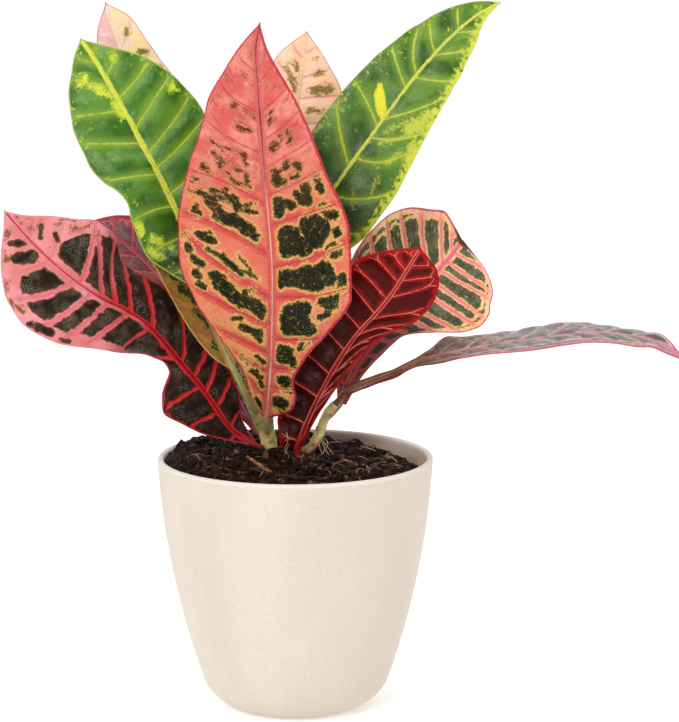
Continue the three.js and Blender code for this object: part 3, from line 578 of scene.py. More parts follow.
def bladeFields(name, shape, percent, across, width, length):
    # Flat coordinates and distances of every point, which the materials and the relief are drawn from
    reach, half = np.abs(across)[None, :], (across >= 0).astype(int)
    down = percent / 100 * length
    flatAlong = np.repeat(down[:, None], len(across), 1)
    flatAcross = across[None, :] * width
    edge = (1 - reach) * width / np.sqrt(1 + np.gradient(width, down, axis=0) ** 2)
    edge = np.minimum(edge, length - flatAlong + 0.3)
    veins, cells = leafVeins[name], leafCells.get(name, {"ring": 0.76, "scallop": 0.1})
    rank, gap = np.zeros_like(width), np.zeros_like(width)
    for column, q in enumerate(reach[0]):
        rows = np.array(veins[halves[half[column]]])
        places = rows[:, 0] + rows[:, 1] * q + rows[:, 2] * q * q
        rise = np.interp(percent, places, rows[:, 1] + 2 * rows[:, 2] * q) * length / 100
        places = np.concatenate([[places[0] - 14], places, [max(places[-1] + 9, 112)]])
        spot = np.clip(np.searchsorted(places, percent, side="right") - 1, 0, len(places) - 2)
        step = places[spot + 1] - places[spot]
        rank[:, column] = spot + (percent - places[spot]) / step
        gap[:, column] = step * length / 100 / np.sqrt(1 + (rise / np.maximum(width[:, column], 3)) ** 2)
    veinGap = np.abs(rank - np.round(rank)) * gap
    cellShare = rank - np.floor(rank)
    ring = (reach - (cells["ring"] + cells["scallop"] * 4 * cellShare * (1 - cellShare))) * width
    depth = np.full(width.shape, outside)
    if "band" in cells:
        table = np.random.default_rng(len(name) * 7 + 3).uniform(0, cells["shrink"], (2, mostCells))
        shrink = table[half[None, :], np.clip(np.floor(rank).astype(int), 0, mostCells - 1)]
        band, rib, rim = (rowsAt(cells[key], percent)[:, half] for key in ("band", "rib", "rim"))
        room = np.minimum.reduce([veinGap - band, np.abs(flatAcross) - rib, edge - rim])
        outer = np.minimum.reduce([veinGap - band * 0.6, ring - cells["ringBand"], edge - rim])
        if "grow" not in cells:
            depth = np.maximum(np.minimum(room, -ring - cells["ringBand"]) - shrink, outer - 0.3)
    place = np.stack([flatAcross, flatAlong], -1)
    blots = blotDepth(veins.get("blots", []), shape, place, length)
    if "grow" in cells:
        blots = np.minimum(blots + cells["grow"], room)
    depth = np.maximum.reduce([depth, blots, np.full_like(depth, outside)])
    return {"across": flatAcross, "along": flatAlong, "edge": edge, "rank": rank, "gap": gap, "ring": ring,
            "depth": depth, "fleck": blotDepth(veins.get("flecks", []), shape, place, length),
            "share": np.repeat(percent[:, None] / 100, len(across), 1)}


def buildLeaf(name, materials):
    shape, size = leafShapes[name], bladeMesh
    midrib = rowsAt(shape["midrib"], np.linspace(0, 100, 400))
    length = float(np.linalg.norm(np.diff(midrib, axis=0), axis=1).sum())
    percent = np.linspace(0, 100, int(length / size["alongStep"]))
    down = percent[:, None]
    share = np.linspace(-1, 1, 2 * size["columns"] + 1)
    across = share * (0.45 + 0.55 * np.abs(share))
    seed = len(name) + int(length)
    nibble = np.stack([softNoise(percent * length / 100, side * 50.0, 7, seed) for side in (1, 2)], -1)
    nibble = nibble * size["nibble"] * np.clip(down / 10, 0, 1)
    points, normals, width = bladeSurface(shape, percent, across, nibble)
    fields = bladeFields(name, shape, percent, across, width, length)
    flatAcross, flatAlong, ribGap = fields["across"], fields["along"], np.abs(fields["across"])
    veinGap = np.abs(fields["rank"] - np.round(fields["rank"])) * fields["gap"]
    bump = lambda gap, reach: np.exp(-(gap / reach) ** 2)
    edgeRoom, slope = np.clip(fields["edge"] / 6, 0, 1), 1 - down / 100
    quilt = size["quilt"] * (1 - bump(veinGap, 2.6)) * np.clip(ribGap / 5, 0, 1) * edgeRoom
    pucker = size["pucker"] * (softNoise(flatAcross, flatAlong, 13, seed)
                               + 0.5 * softNoise(flatAcross, flatAlong, 6, seed + 1)) * edgeRoom
    # A blade whose underside faces out has its relief turned over
    turned = -1 if shape["arch"] > 0 else 1
    sheet = turned * quilt + pucker
    half = size["marginHalf"] + size["midribExtra"] * (1 - np.abs(across)[None, :]) ** 2 * slope
    groove = 0.35 * bump(ribGap, 0.8) - 0.5 * bump(ribGap, 2.6) * np.clip(down / 8, 0, 1)
    ridge = (size["ridge"] * slope**0.8 + 0.15) * bump(ribGap, 0.7 + 0.6 * slope)
    ridge = ridge + size["sideRidge"] * bump(veinGap, 0.9) * edgeRoom * np.clip(ribGap / 2, 0, 1)
    outer, inner = (groove, ridge) if turned > 0 else (ridge * 0.45, groove)
    upper = points + normals * (half + sheet + outer)[..., None]
    lower = points - normals * (half - sheet + inner)[..., None]
    rows, columns = width.shape
    count, last = rows * columns, (rows - 1) * columns
    corner = (np.arange(rows - 1)[:, None] * columns + np.arange(columns - 1)).ravel()
    top = np.stack([corner, corner + 1, corner + columns + 1, corner + columns], -1)
    wall = lambda first, second: np.stack([second, first, first + count, second + count], -1)
    station, column = np.arange(rows - 1) * columns, np.arange(columns - 1)
    walls = [wall(station + columns, station), wall(station + columns - 1, station + 2 * columns - 1),
             wall(column, column + 1), wall(last + column + 1, last + column)]
    # Stalk from the stem into the base, running out under the blade
    rings, sides = size["stalkRings"], size["stalkSides"]
    baseRows = np.array([0.0, 4.0, 9.0])
    baseNormals = bladeSurface(shape, baseRows, np.array([0.0]))[1][:, 0]
    basePoints = rowsAt(shape["midrib"], baseRows) - turned * baseNormals * np.array([[0.1], [0.5], [0.6]])
    path = smoothPath(np.vstack([np.array(shape["stalk"]) - [0, 0, shape.get("sunk", 0)], basePoints]), rings)
    radiusRows = [2.1] + [1.55] * (len(shape["stalk"]) - 1) + [1.6, 1.25, 0.4]
    stalkPoints, stalkQuads, _ = tubeGrid(path, alongPath(radiusRows, rings), sides)
    none = np.zeros(len(stalkPoints))
    attributes = {key: np.concatenate([values.ravel(), values.ravel(), none]) for key, values in fields.items()}
    attributes["stalkShare"] = np.concatenate([np.zeros(2 * count), np.repeat(np.linspace(0, 1, rings), sides), [0, 0]])
    quads = np.vstack([top, top[:, ::-1] + count, *walls, stalkQuads + 2 * count])
    slots = np.repeat([0, 1, 0, 2], [len(top), len(top), sum(map(len, walls)), len(stalkQuads)])
    vertices = np.vstack([upper.reshape(-1, 3), lower.reshape(-1, 3), stalkPoints]) * mm
    addPiece(name + "_blade", newMesh(name + "_blade", vertices, quads, attributes, slots), materials, [name])

# ---- how each leaf is painted. Widths are in mm, colours as read on screen, at the base and at the tip.

plainLook = {
    "turn": (0.4, 0.75),  # share of the length where the base's colours give way to the tip's
    "patchSize": 22, "streak": 0.3, "mottle": 0, "bandWidth": 2.6, "lineWidth": 0.45, "lineShare": 0.5, "glow": 0,
    "glowWidth": 5, "ribWidth": 3.6, "ribLineWidth": 0.7, "fringeWidth": 1.1, "warp": 1.3, "fineWarp": 1.2,
    "breakUp": 0, "notch": 1.6, "marginWidth": (1, 1), "marginBlur": 0.5, "net": 0, "speck": 0.3, "innerSpeck": 0.4,
    "sheen": 0.3, "sheenColour": ((96, 92, 84), (110, 106, 98)), "roughness": 0.34, "gloss": 0.2,
    "bandEnd": (1.2, 1.3), "wobble": 0.6, "softCells": 0, "sideTurn": 0, "ribTwin": 0,
}

leafLooks = {
    "leaf_front": {
        "turn": (0.5, 0.72), "ground": ((238, 130, 106), (248, 150, 134)), "second": ((232, 116, 90), (228, 100, 92)),
        "band": ((218, 78, 74), (230, 104, 98)), "line": ((196, 62, 70), (204, 62, 76)),
        "rib": ((218, 96, 88), (224, 108, 106)), "ribLine": ((244, 186, 164), (158, 52, 62)),
        "fringe": ((232, 178, 98), (210, 116, 92)), "olive": ((104, 84, 22), (130, 60, 36)),
        "dark": ((20, 26, 0), (34, 26, 2)), "margin": ((196, 44, 64), (204, 60, 80)),
        "sideTone": ((222, 166, 84), (218, 124, 92)), "sideReach": (0.16, 0.42, 0.8), "mottle": 1,
        "mottleColour": ((150, 92, 40), (150, 50, 36)), "marginWidth": (0.7, 1.4), "sheen": 0.2,
        "sheenColour": ((82, 66, 26), (96, 62, 32)), "fringeWidth": 1.3, "notch": 0.9, "bandWidth": 4.2,
        "innerSpeck": 0.5, "glint": 0.25, "softCells": 0.9, "speck": 1, "bandEnd": (0.5, 0.72), "lineShare": 0.8,
        "lineWidth": 0.5, "warp": 0.8, "streak": 0.45, "patchSize": 13, "gloss": 0.1,
    },
    "leaf_green_left": {
        "turn": (0.1, 0.5), "ground": ((20, 56, 0), (50, 108, 4)), "second": ((34, 70, 4), (92, 146, 30)),
        "band": ((110, 140, 26), (146, 184, 56)), "line": ((180, 200, 40), (200, 222, 60)),
        "rib": ((190, 206, 56), (214, 226, 72)), "ribLine": ((214, 220, 70), (240, 240, 80)),
        "fringe": ((140, 170, 26), (166, 200, 46)), "olive": ((180, 196, 36), (206, 220, 56)),
        "dark": ((196, 204, 46), (226, 232, 66)), "margin": ((190, 200, 66), (160, 190, 66)), "bandWidth": 1.3,
        "lineWidth": 0.8, "ribWidth": 2.5, "ribLineWidth": 1.7, "fringeWidth": 1.4, "warp": 2.2, "fineWarp": 2.6,
        "marginWidth": (0.7, 0.7), "streak": 0.1, "speck": 0.1, "innerSpeck": 0, "lineShare": 0.7, "glow": 0.65,
        "notch": 0, "sheen": 0, "roughness": 0.3, "wobble": 2, "freckle": 0.9, "patchSize": 18, "gloss": 0.3,
        "shine": 0.42, "shineColour": (140, 182, 112),
    },
    "leaf_green_right": {
        "turn": (0.2, 0.6), "ground": ((28, 54, 0), (48, 98, 6)), "second": ((44, 74, 8), (104, 148, 40)),
        "band": ((120, 140, 40), (140, 178, 60)), "line": ((190, 200, 50), (216, 224, 70)),
        "rib": ((200, 200, 70), (214, 222, 84)), "ribLine": ((230, 224, 70), (240, 238, 90)),
        "fringe": ((120, 150, 30), (150, 180, 40)), "olive": ((226, 220, 50), (236, 228, 60)),
        "dark": ((244, 234, 44), (250, 242, 54)), "margin": ((150, 160, 50), (150, 170, 60)), "bandWidth": 1.3,
        "lineWidth": 1, "ribWidth": 1.5, "ribLineWidth": 1.1, "fringeWidth": 0.5, "warp": 0.4, "fineWarp": 0.3,
        "marginWidth": (0.7, 4), "marginBlur": 1.7, "streak": 0.1, "speck": 0.1, "innerSpeck": 0, "lineShare": 0.8,
        "glow": 0.65, "notch": 0, "sheen": 0, "roughness": 0.28, "fleckColour": ((206, 216, 44), (226, 232, 70)),
        "wobble": 1.2, "freckle": 1, "patchSize": 18, "gloss": 0.35, "shine": 0.3, "shineColour": (150, 172, 124),
    },
    "leaf_pale_left": {
        "turn": (0.3, 0.6), "ground": ((190, 140, 66), (270, 230, 206)), "second": ((140, 116, 44), (270, 236, 170)),
        "band": ((196, 130, 66), (266, 216, 204)), "line": ((206, 150, 84), (260, 204, 194)),
        "rib": ((204, 176, 90), (270, 236, 204)), "ribLine": ((220, 196, 116), (274, 242, 210)),
        "fringe": ((160, 140, 50), (246, 214, 110)), "olive": ((74, 76, 20), (160, 140, 70)),
        "dark": ((30, 40, 10), (110, 116, 50)), "margin": ((206, 160, 90), (222, 150, 156)), "warp": 2,
        "fineWarp": 2.6, "breakUp": 0.6, "marginWidth": (0.6, 0.5), "sheen": 0.1, "speck": 0.2, "notch": 0.6,
        "streak": 0.5, "mottle": 0.5, "mottleColour": ((90, 56, 20), (250, 190, 180)),
        "sideTone": ((150, 96, 40), (252, 186, 196)), "sideReach": (0.95, 1, 0.8), "softCells": 0.3,
    },
    "leaf_pale_back": {
        "turn": (0.3, 0.6), "ground": ((250, 190, 140), (296, 240, 214)),
        "second": ((244, 196, 120), (288, 228, 184)), "band": ((250, 178, 150), (280, 204, 186)),
        "line": ((240, 150, 134), (266, 176, 166)), "rib": ((244, 200, 140), (280, 232, 186)),
        "ribLine": ((246, 210, 150), (284, 240, 196)), "fringe": ((220, 186, 100), (244, 200, 120)),
        "olive": ((120, 110, 40), (186, 146, 86)), "dark": ((70, 76, 34), (128, 116, 62)),
        "margin": ((224, 170, 140), (220, 160, 156)), "warp": 2.2, "fineWarp": 3, "breakUp": 0.85,
        "marginWidth": (0.5, 0.5), "sheen": 0.1, "speck": 0.2, "notch": 0.6, "bandWidth": 1.6, "softCells": 0.35,
    },
    "leaf_dark_left": {
        "turn": (0.54, 0.84), "ground": ((196, 52, 50), (252, 162, 164)), "second": ((160, 46, 42), (236, 136, 134)),
        "band": ((220, 52, 52), (240, 126, 132)), "line": ((190, 30, 38), (232, 112, 122)),
        "rib": ((208, 36, 44), (240, 130, 138)), "ribLine": ((146, 8, 20), (178, 30, 54)),
        "fringe": ((96, 30, 22), (168, 104, 76)), "olive": ((50, 26, 16), (84, 60, 40)),
        "dark": ((34, 18, 9), (36, 26, 14)), "margin": ((196, 56, 70), (240, 150, 160)), "fringeWidth": 0.5,
        "warp": 1, "fineWarp": 0.6, "ribWidth": 2.2, "ribLineWidth": 0.55, "marginWidth": (0.8, 0.8),
        "roughness": 0.3, "lineShare": 0.15, "notch": 0.3, "bandWidth": 2.3,
        "sheenColour": ((118, 78, 60), (142, 120, 104)), "innerSpeck": 0.2, "glint": 1, "speck": 0.1, "smudge": 1,
        "smudgeColour": ((116, 76, 34), (142, 96, 50)), "streak": 0.15, "bandEnd": (0.76, 0.86), "gloss": 0.08,
        "sideTurn": 0.12,
    },
    "leaf_plum_left": {
        "ground": ((150, 70, 80), (196, 60, 80)), "second": ((160, 80, 86), (180, 60, 80)),
        "band": ((222, 140, 156), (214, 104, 118)), "line": ((226, 150, 164), (220, 120, 130)),
        "rib": ((156, 100, 104), (160, 90, 96)), "ribLine": ((230, 160, 170), (216, 110, 120)),
        "fringe": ((150, 84, 94), (150, 60, 70)), "olive": ((116, 76, 84), (110, 50, 60)),
        "dark": ((150, 114, 118), (124, 74, 84)), "margin": ((190, 40, 64), (190, 30, 50)), "bandWidth": 0.9,
        "fringeWidth": 0.8, "warp": 1.2, "fineWarp": 2, "marginWidth": (1.6, 2.4), "innerSpeck": 0.3,
        "roughness": 0.3, "net": 0.9, "sheen": 0.5, "sheenColour": ((140, 116, 116), (140, 100, 104)), "gloss": 0.3,
        "ribWidth": 1, "ribLineWidth": 0.45,
    },
    "leaf_red": {
        "turn": (0.45, 0.7), "ground": ((180, 26, 22), (196, 24, 18)), "second": ((120, 14, 12), (140, 14, 12)),
        "band": ((178, 28, 24), (184, 28, 22)), "line": ((226, 116, 102), (240, 130, 114)),
        "rib": ((166, 26, 22), (178, 28, 26)), "ribLine": ((226, 116, 100), (240, 136, 120)),
        "fringe": ((104, 14, 12), (140, 18, 14)), "olive": ((70, 8, 6), (100, 12, 8)),
        "dark": ((66, 16, 11), (82, 9, 4)), "margin": ((166, 22, 28), (176, 18, 22)), "bandWidth": 1.3,
        "lineWidth": 0.42, "lineShare": 1, "ribWidth": 1.3, "ribLineWidth": 0.55, "fringeWidth": 1.3, "warp": 1.1,
        "fineWarp": 0.5, "marginWidth": (0.9, 1.2), "speck": 0.03, "innerSpeck": 0.1, "roughness": 0.28,
        "streak": 0.1, "sheen": 0.15, "sheenColour": ((64, 22, 22), (92, 14, 8)), "notch": 0.3, "gleam": 0.6,
        "gleamColour": ((112, 92, 98), (96, 40, 40)), "ribTwin": 0.85, "fork": 1, "gloss": 0.1,
    },
    "leaf_stripe_right": {
        "turn": (0.35, 0.6), "ground": ((190, 102, 88), (306, 206, 178)), "second": ((156, 90, 74), (300, 236, 170)),
        "band": ((192, 80, 80), (290, 160, 156)), "line": ((184, 72, 78), (250, 126, 130)),
        "rib": ((182, 64, 70), (286, 146, 150)), "ribLine": ((180, 80, 86), (234, 140, 142)),
        "fringe": ((100, 66, 46), (276, 236, 150)), "olive": ((64, 50, 36), (116, 124, 56)),
        "dark": ((60, 48, 34), (80, 84, 60)), "margin": ((160, 60, 70), (228, 108, 116)), "fringeWidth": 0.5,
        "warp": 0.9, "fineWarp": 1, "marginWidth": (0.8, 0.8), "innerSpeck": 0.8, "sheen": 0.5,
        "sheenColour": ((100, 82, 64), (164, 158, 132)), "notch": 0.8, "ribWidth": 3, "fork": 0.8, "glint": 0.25,
        "tipColour": ((104, 56, 38), (104, 56, 38)), "streak": 0.7,
    },
    "leaf_long_right": {
        "turn": (0.24, 0.4), "ground": ((176, 128, 92), (232, 184, 184)), "second": ((128, 82, 60), (222, 192, 186)),
        "band": ((190, 140, 106), (232, 158, 166)), "line": ((110, 64, 48), (236, 148, 160)),
        "rib": ((156, 104, 76), (230, 148, 160)), "ribLine": ((96, 52, 40), (234, 160, 168)),
        "fringe": ((140, 96, 70), (194, 164, 160)), "olive": ((80, 60, 50), (146, 130, 122)),
        "dark": ((84, 54, 40), (104, 98, 90)), "margin": ((120, 66, 54), (218, 104, 122)), "bandWidth": 0.9,
        "fringeWidth": 0.8, "warp": 1, "fineWarp": 1, "marginWidth": (1, 1.2), "roughness": 0.26, "sheen": 0.7,
        "sheenColour": ((110, 90, 78), (190, 176, 170)), "notch": 0.4, "streak": 0.6,
    },
}

colourKeys = ("ground", "second", "band", "line", "rib", "ribLine", "fringe", "olive", "dark", "margin",
              "fleckColour", "mottleColour", "sheenColour", "sideTone", "gleamColour", "smudgeColour", "tipColour")


def bladeMaterial(name, look, raised):
    material, tree = newMaterial(name)
    across, along, rank, gap, edge, share, depth = (
        attribute(tree, key) for key in ("across", "along", "rank", "gap", "edge", "share", "depth"))
    place = combine(across, along, 0.0)
    leftHalf = across.fall(-0.01, 0.01)
    shifted = share + wander(place, 0.05, 1.0, 0.2) + leftHalf * look["sideTurn"]
    tipShare = shifted.ramp(*look["turn"])
    colourOf = {key: mixed(tipShare, *(tint(*value) for value in look[key])) for key in colourKeys if key in look}
    ribGap, taper = across.size(), share * -0.4 + 1.0
    veinGap = (rank - rank.math("ROUND")).size() * gap
    veinSoft = veinGap + wander(place, 0.5, 2.0, 1.8)
    cellShare = rank - rank.math("FLOOR")
    cellMiddle = (cellShare - 0.5).size()
    jitter = newNode(tree, "ShaderNodeTexWhiteNoise", W=rank.math("FLOOR"), noise_dimensions="1D", output="Value")
    grain, fine = noise(place, 2.2), noise(place, 0.8, 3.0, 0.6)

    def alongVeins(across, turns):  # place for a noise that is drawn out along the side veins
        return combine(ribGap * across, rank * turns, leftHalf * 9.0)

    streakPlace = alongVeins(0.32, 7.0)
    # Short veins that cross the cells, drawn where a noise along the side vein passes its middle value
    crossPlace = combine(ribGap * 0.17 + jitter * 40.0, jitter * 9.0, along * 0.03)
    crossing = (noise(crossPlace, 1.0, 0.0) - 0.5).size().fall(0.0, 0.035)
    depth = depth + wander(place, 0.26, 2.0, look["warp"] * 3) + (fine - 0.5) * (look["fineWarp"] * 2.4)
    soft = share.ramp(0.5, 0.68) * look["softCells"]
    if look["softCells"]:  # the marks towards the tip and on the left half are broken into streaks
        torn = noise(alongVeins(0.16, 9.0), 1.0, 4.0, 0.7) * 0.7 + grain * 0.3
        depth = depth - (torn - 0.47).most(0.0) * (soft + leftHalf * 0.35).least(1.0) * 18.0
    if look["notch"]:
        depth = depth - crossing * cellShare.ramp(0.3, 0.85) * look["notch"]

    colour = mixed(noise(place, 1 / look["patchSize"]).ramp(0.4, 0.62), colourOf["ground"], colourOf["second"])

    def paint(amount, tone):  # lays one of the look's colours, or any other, over what is there
        nonlocal colour
        colour = mixed(amount, colour, colourOf[tone] if isinstance(tone, str) else tone)

    paint(noise(streakPlace, 1.0, 3.0).ramp(0.42, 0.66) * look["streak"], "second")
    if "sideTone" in look:  # the left half's own colour
        low, high, amount = look["sideReach"]
        paint(noise(place, 0.16, 3.0, 0.6).ramp(0.3, 0.55) * share.fall(low, high) * leftHalf * amount, "sideTone")
    if look["glow"]:
        paint(veinSoft.fall(0.0, look["glowWidth"]) * look["glow"], "band")
    if look["mottle"]:
        blurred = noise(streakPlace, 0.45, 4.0, 0.7).ramp(0.5, 0.66) * veinGap.ramp(1.2, 3.0) * grain.ramp(0.4, 0.62)
        paint(blurred * tipShare * look["mottle"], "mottleColour")
    width = taper * look["bandWidth"]
    paint(veinSoft.fall(width * 0.4, width) * edge.ramp(0.5, 3.0) * share.fall(*look["bandEnd"]) * 0.9, "band")
    if "smudge" in look:  # brown and olive marks between the tip and the cells
        smudge = noise(place, 0.13, 5.0, 0.7).ramp(0.52, 0.62) * share.ramp(0.6, 0.74) * edge.fall(4.0, 10.0)
        paint(smudge * look["smudge"], "smudgeColour")
    paint(depth.ramp(-look["fringeWidth"] * 1.3, -look["fringeWidth"] * 0.3), "fringe")
    paint(depth.ramp(-0.4, 0.2) * (soft * -0.35 + 1.0), "olive")
    darkness = depth.ramp(0.1, 0.9) * (soft * -0.2 + 1.0)
    if look["breakUp"]:
        darkness = darkness * (noise(place, 1.2).ramp(0.42, 0.58) * look["breakUp"] + (1 - look["breakUp"]))
    # Painted sheen: patches of the dark cells are lightened towards a greyer colour, standing in for glossy reflection
    sheen = noise(place, 0.12, 3.0, 0.6).ramp(0.4, 0.68) * look["sheen"]
    paint(darkness, mixed(sheen, colourOf["dark"], colourOf["sheenColour"]))
    if look["innerSpeck"]:
        inner = noise(streakPlace, 1.3, 3.0, 0.6).ramp(0.56, 0.68) * grain.ramp(0.4, 0.6) * depth.ramp(0.2, 0.8)
        paint(inner * look["innerSpeck"], "fringe")
    # Painted glints: tiny near-white highlights on the dark cells
    if "glint" in look:
        glint = noise(place, 2.6, 1.0).ramp(0.62, 0.69) * noise(place, 0.08).ramp(0.47, 0.6)
        paint(glint * darkness * look["glint"], tint(206, 204, 190))
    if "gleamColour" in look:  # a soft shine in the middle of each cell of the lower left half
        gleam = cellMiddle.fall(0.08, 0.32) * (ribGap - 8.0).size().fall(1.0, 6.0)
        gleam = gleam * noise(place, 0.25, 3.0).ramp(0.4, 0.62) * leftHalf * share.fall(0.3, 0.6)
        paint(gleam * look["gleam"], "gleamColour")
    if "shine" in look:  # soft light streaks between the side veins
        shine = noise(alongVeins(0.07, 1.3), 1.0, 3.0, 0.6).ramp(0.5, 0.66) * cellMiddle.fall(0.1, 0.45)
        paint(shine * look["shine"], tint(*look["shineColour"]))
    if "freckle" in look:  # small patches of the vein colour towards the margin
        reach = noise(place, 0.09) + edge.fall(0.0, 9.0) * 0.3
        paint(noise(place, 0.42, 4.0, 0.7).ramp(0.55, 0.64) * reach.ramp(0.56, 0.76) * look["freckle"], "line")
    if look["net"]:
        shaken = combine(across + (grain - 0.5) * 2.0, along + (fine - 0.5) * 3.0, 0.0)
        border = newNode(tree, "ShaderNodeTexVoronoi", Vector=shaken, Scale=0.32, feature="DISTANCE_TO_EDGE",
                         output="Distance")
        reach = noise(place, 0.09) + edge.fall(0.0, 9.0) * 0.25
        paint(border.fall(0.0, 0.16) * reach.ramp(0.58, 0.74) * look["net"], "line")
    if "fleckColour" in look:
        fleck = attribute(tree, "fleck") + wander(place, 0.6, 4.0, 12.0, 0.7)
        paint(fleck.ramp(-0.8, 3.0) * 0.85, "fleckColour")
    width = taper * look["lineWidth"]
    wavering = (veinGap + wander(place, 0.3, 3.0, look["wobble"])).size()
    line = wavering.fall(width * 0.35, width) * look["lineShare"] * edge.ramp(0.8, 4.0)
    if "fork" in look:  # the side veins part in two before the margin
        spread = (attribute(tree, "ring") + 5.0).most(0.0)
        fork = (veinGap - spread * 0.45).size().fall(width * 0.35, width) * spread.ramp(0.0, 0.6)
        fork = fork * edge.ramp(0.5, 2.0) * noise(place, 0.3).ramp(0.35, 0.5) * look["fork"]
        line = line * spread.fall(0.5, 2.5) + fork * look["lineShare"]
    paint(line, "line")
    width = taper * look["ribWidth"]
    paint((ribGap + wander(place, 0.4, 2.0, 1.6)).fall(width * 0.5, width), "rib")
    width = taper * look["ribLineWidth"]
    twin = (ribGap - taper * look["ribTwin"]).size()  # a rib seen from below has a line on each side
    paint(twin.fall(width * 0.5, width), "ribLine")
    leftMargin, rightMargin = look["marginWidth"]
    width = leftHalf * (leftMargin - rightMargin) + rightMargin
    marginSoft = edge + wander(place, 0.4, 3.0, width) * (look["marginBlur"] * 2.4)
    marginColour = colourOf["margin"]
    if "fleckColour" in look:  # the wide margin of the right half is paler than the thin one of the left
        marginColour = mixed(leftHalf, colourOf["fleckColour"], marginColour)
    paint(marginSoft.fall(width * (1 - look["marginBlur"] * 0.5), width * 1.1), marginColour)
    # Pale specks over the blade, partly fine grain and partly painted glints, fewer on the dark cells
    speck = noise(place, 2.0, 1.0).ramp(0.63, 0.71) * (darkness * -0.7 + 1.0) * look["speck"]
    paint(speck * (noise(place, 0.07, 3.0).ramp(0.42, 0.6) * 0.8 + 0.2), tint(252, 224, 200))
    if "tipColour" in look:  # the withered end of the leaf
        paint((share + (fine - 0.5) * 0.03).ramp(0.965, 0.98), "tipColour")
    colour = scaled(colour, grain * 0.62 + fine * 0.4 + 0.49)

    roughness = noise(place, 0.7, 3.0) * 0.22 + (look["roughness"] - 0.11) + ribGap.fall(0.5, 1.6) * 0.2
    lift = 0.35 if raised else -0.3
    height = veinGap.fall(0.0, 0.8) * lift + ribGap.fall(0.0, 0.9) * 0.3 + grain * 0.1 + fine * 0.22
    return finished(material, colour, roughness, height, 0.0011, look["gloss"])


def stalkMaterial(name, base, tip):
    material, tree = newMaterial(name)
    place = objectPlace(tree)
    colour = mixed(attribute(tree, "stalkShare").ramp(0.1, 0.9), tint(*base), tint(*tip))
    mottle = noise(place, 260, 3.0)
    colour = mixed(mottle.ramp(0.5, 0.75) * 0.4, colour, tint(120, 96, 50))
    return finished(material, colour, mottle * 0.2 + 0.34, noise(place, 900), 0.0002)


# Each leaf's material slot, its stalk's colours at the foot and at the blade, and its other side: the same
# drawing, moved this far towards a duller colour
leafParts = {
    "leaf_front": ("leaf_coral", (176, 176, 96), (214, 120, 110), (150, 84, 74), 0.45),
    "leaf_green_left": ("leaf_green", (140, 160, 70), (160, 190, 60), (104, 132, 78), 0.5),
    "leaf_pale_left": ("leaf_pale", (170, 170, 96), (196, 184, 120), (200, 160, 126), 0.4),
    "leaf_pale_back": ("leaf_pale", (170, 170, 96), (220, 180, 130), (200, 160, 126), 0.4),
    "leaf_green_right": ("leaf_green", (140, 160, 70), (160, 190, 60), (104, 132, 78), 0.5),
    "leaf_dark_left": ("leaf_maroon", (150, 40, 44), (176, 30, 44), (128, 30, 32), 0.6),
    "leaf_plum_left": ("leaf_plum", (140, 60, 60), (170, 50, 70), (140, 34, 46), 0.6),
    "leaf_red": ("leaf_red", (150, 40, 36), (180, 26, 26), (60, 44, 40), 0.4),
    "leaf_stripe_right": ("leaf_stripe", (170, 150, 96), (200, 110, 110), (150, 84, 72), 0.5),
    "leaf_long_right": ("leaf_dusk", (150, 112, 80), (150, 96, 70), (160, 30, 40), 0.75),
}

for leafName, (slotName, stalkFoot, stalkTop, dull, dullShare) in leafParts.items():
    look = {**plainLook, **leafLooks[leafName]}
    backLook = dict(look)
    for key in set(colourKeys) & set(look):
        backLook[key] = [[a + (b - a) * dullShare for a, b in zip(part, dull)] for part in look[key]]
    faceOut = leafShapes[leafName]["arch"] < 0
    buildLeaf(leafName, [
        bladeMaterial(leafName + " face", look, not faceOut), bladeMaterial(leafName + " back", backLook, faceOut),
        stalkMaterial(leafName + " stalk", stalkFoot, stalkTop)])


# ---- Geometry Nodes

def grow(name, mesh, settings, material, draw):  # runs the tree that draw makes and returns its plain mesh
    tree = bpy.data.node_groups.new(name, "GeometryNodeTree")
    addSocket = tree.interface.new_socket
    addSocket("Geometry", in_out="INPUT", socket_type="NodeSocketGeometry")
    identifiers = {}
    for label, value in settings.items():
        kind = "NodeSocketInt" if isinstance(value, int) else "NodeSocketFloat"
        identifiers[label] = addSocket(label, in_out="INPUT", socket_type=kind).identifier
    addSocket("Geometry", in_out="OUTPUT", socket_type="NodeSocketGeometry")
    source = tree.nodes.new("NodeGroupInput")
    geometry = draw(tree, {label: Wire(source.outputs[label]) for label in ("Geometry", *settings)})
    realized = newNode(tree, "GeometryNodeRealizeInstances", geometry)
    smooth = newNode(tree, "GeometryNodeSetShadeSmooth", realized)
    painted = newNode(tree, "GeometryNodeSetMaterial", Geometry=smooth, Material=material)
    plug(painted, tree.nodes.new("NodeGroupOutput").inputs["Geometry"])
    holder = bpy.data.objects.new(name + " source", mesh)
    scene.collection.objects.link(holder)
    modifier = holder.modifiers.new("grow", "NODES")
    modifier.node_group = tree
    for label, value in settings.items():
        modifier[identifiers[label]] = value
    graph = bpy.context.evaluated_depsgraph_get()
    made = bpy.data.meshes.new_from_object(holder.evaluated_get(graph), preserve_all_data_layers=True,
                                           depsgraph=graph)
    made.name = name
    holder.modifiers.remove(modifier)
    bpy.data.objects.remove(holder)
    made.materials.clear()
    return made


# ---- pot: a profile turned about the pot's axis

potSizes = {
    "Height": 0.128, "Rim Radius": 0.070, "Foot Radius": 0.0435, "Bulge": 0.0052, "Corner": 0.0127,
    "Wall": 0.003, "Floor": 0.004,
}
potRows, potSegments, potParts = 30, 168, 5  # rows in each part of the profile, steps round, and parts


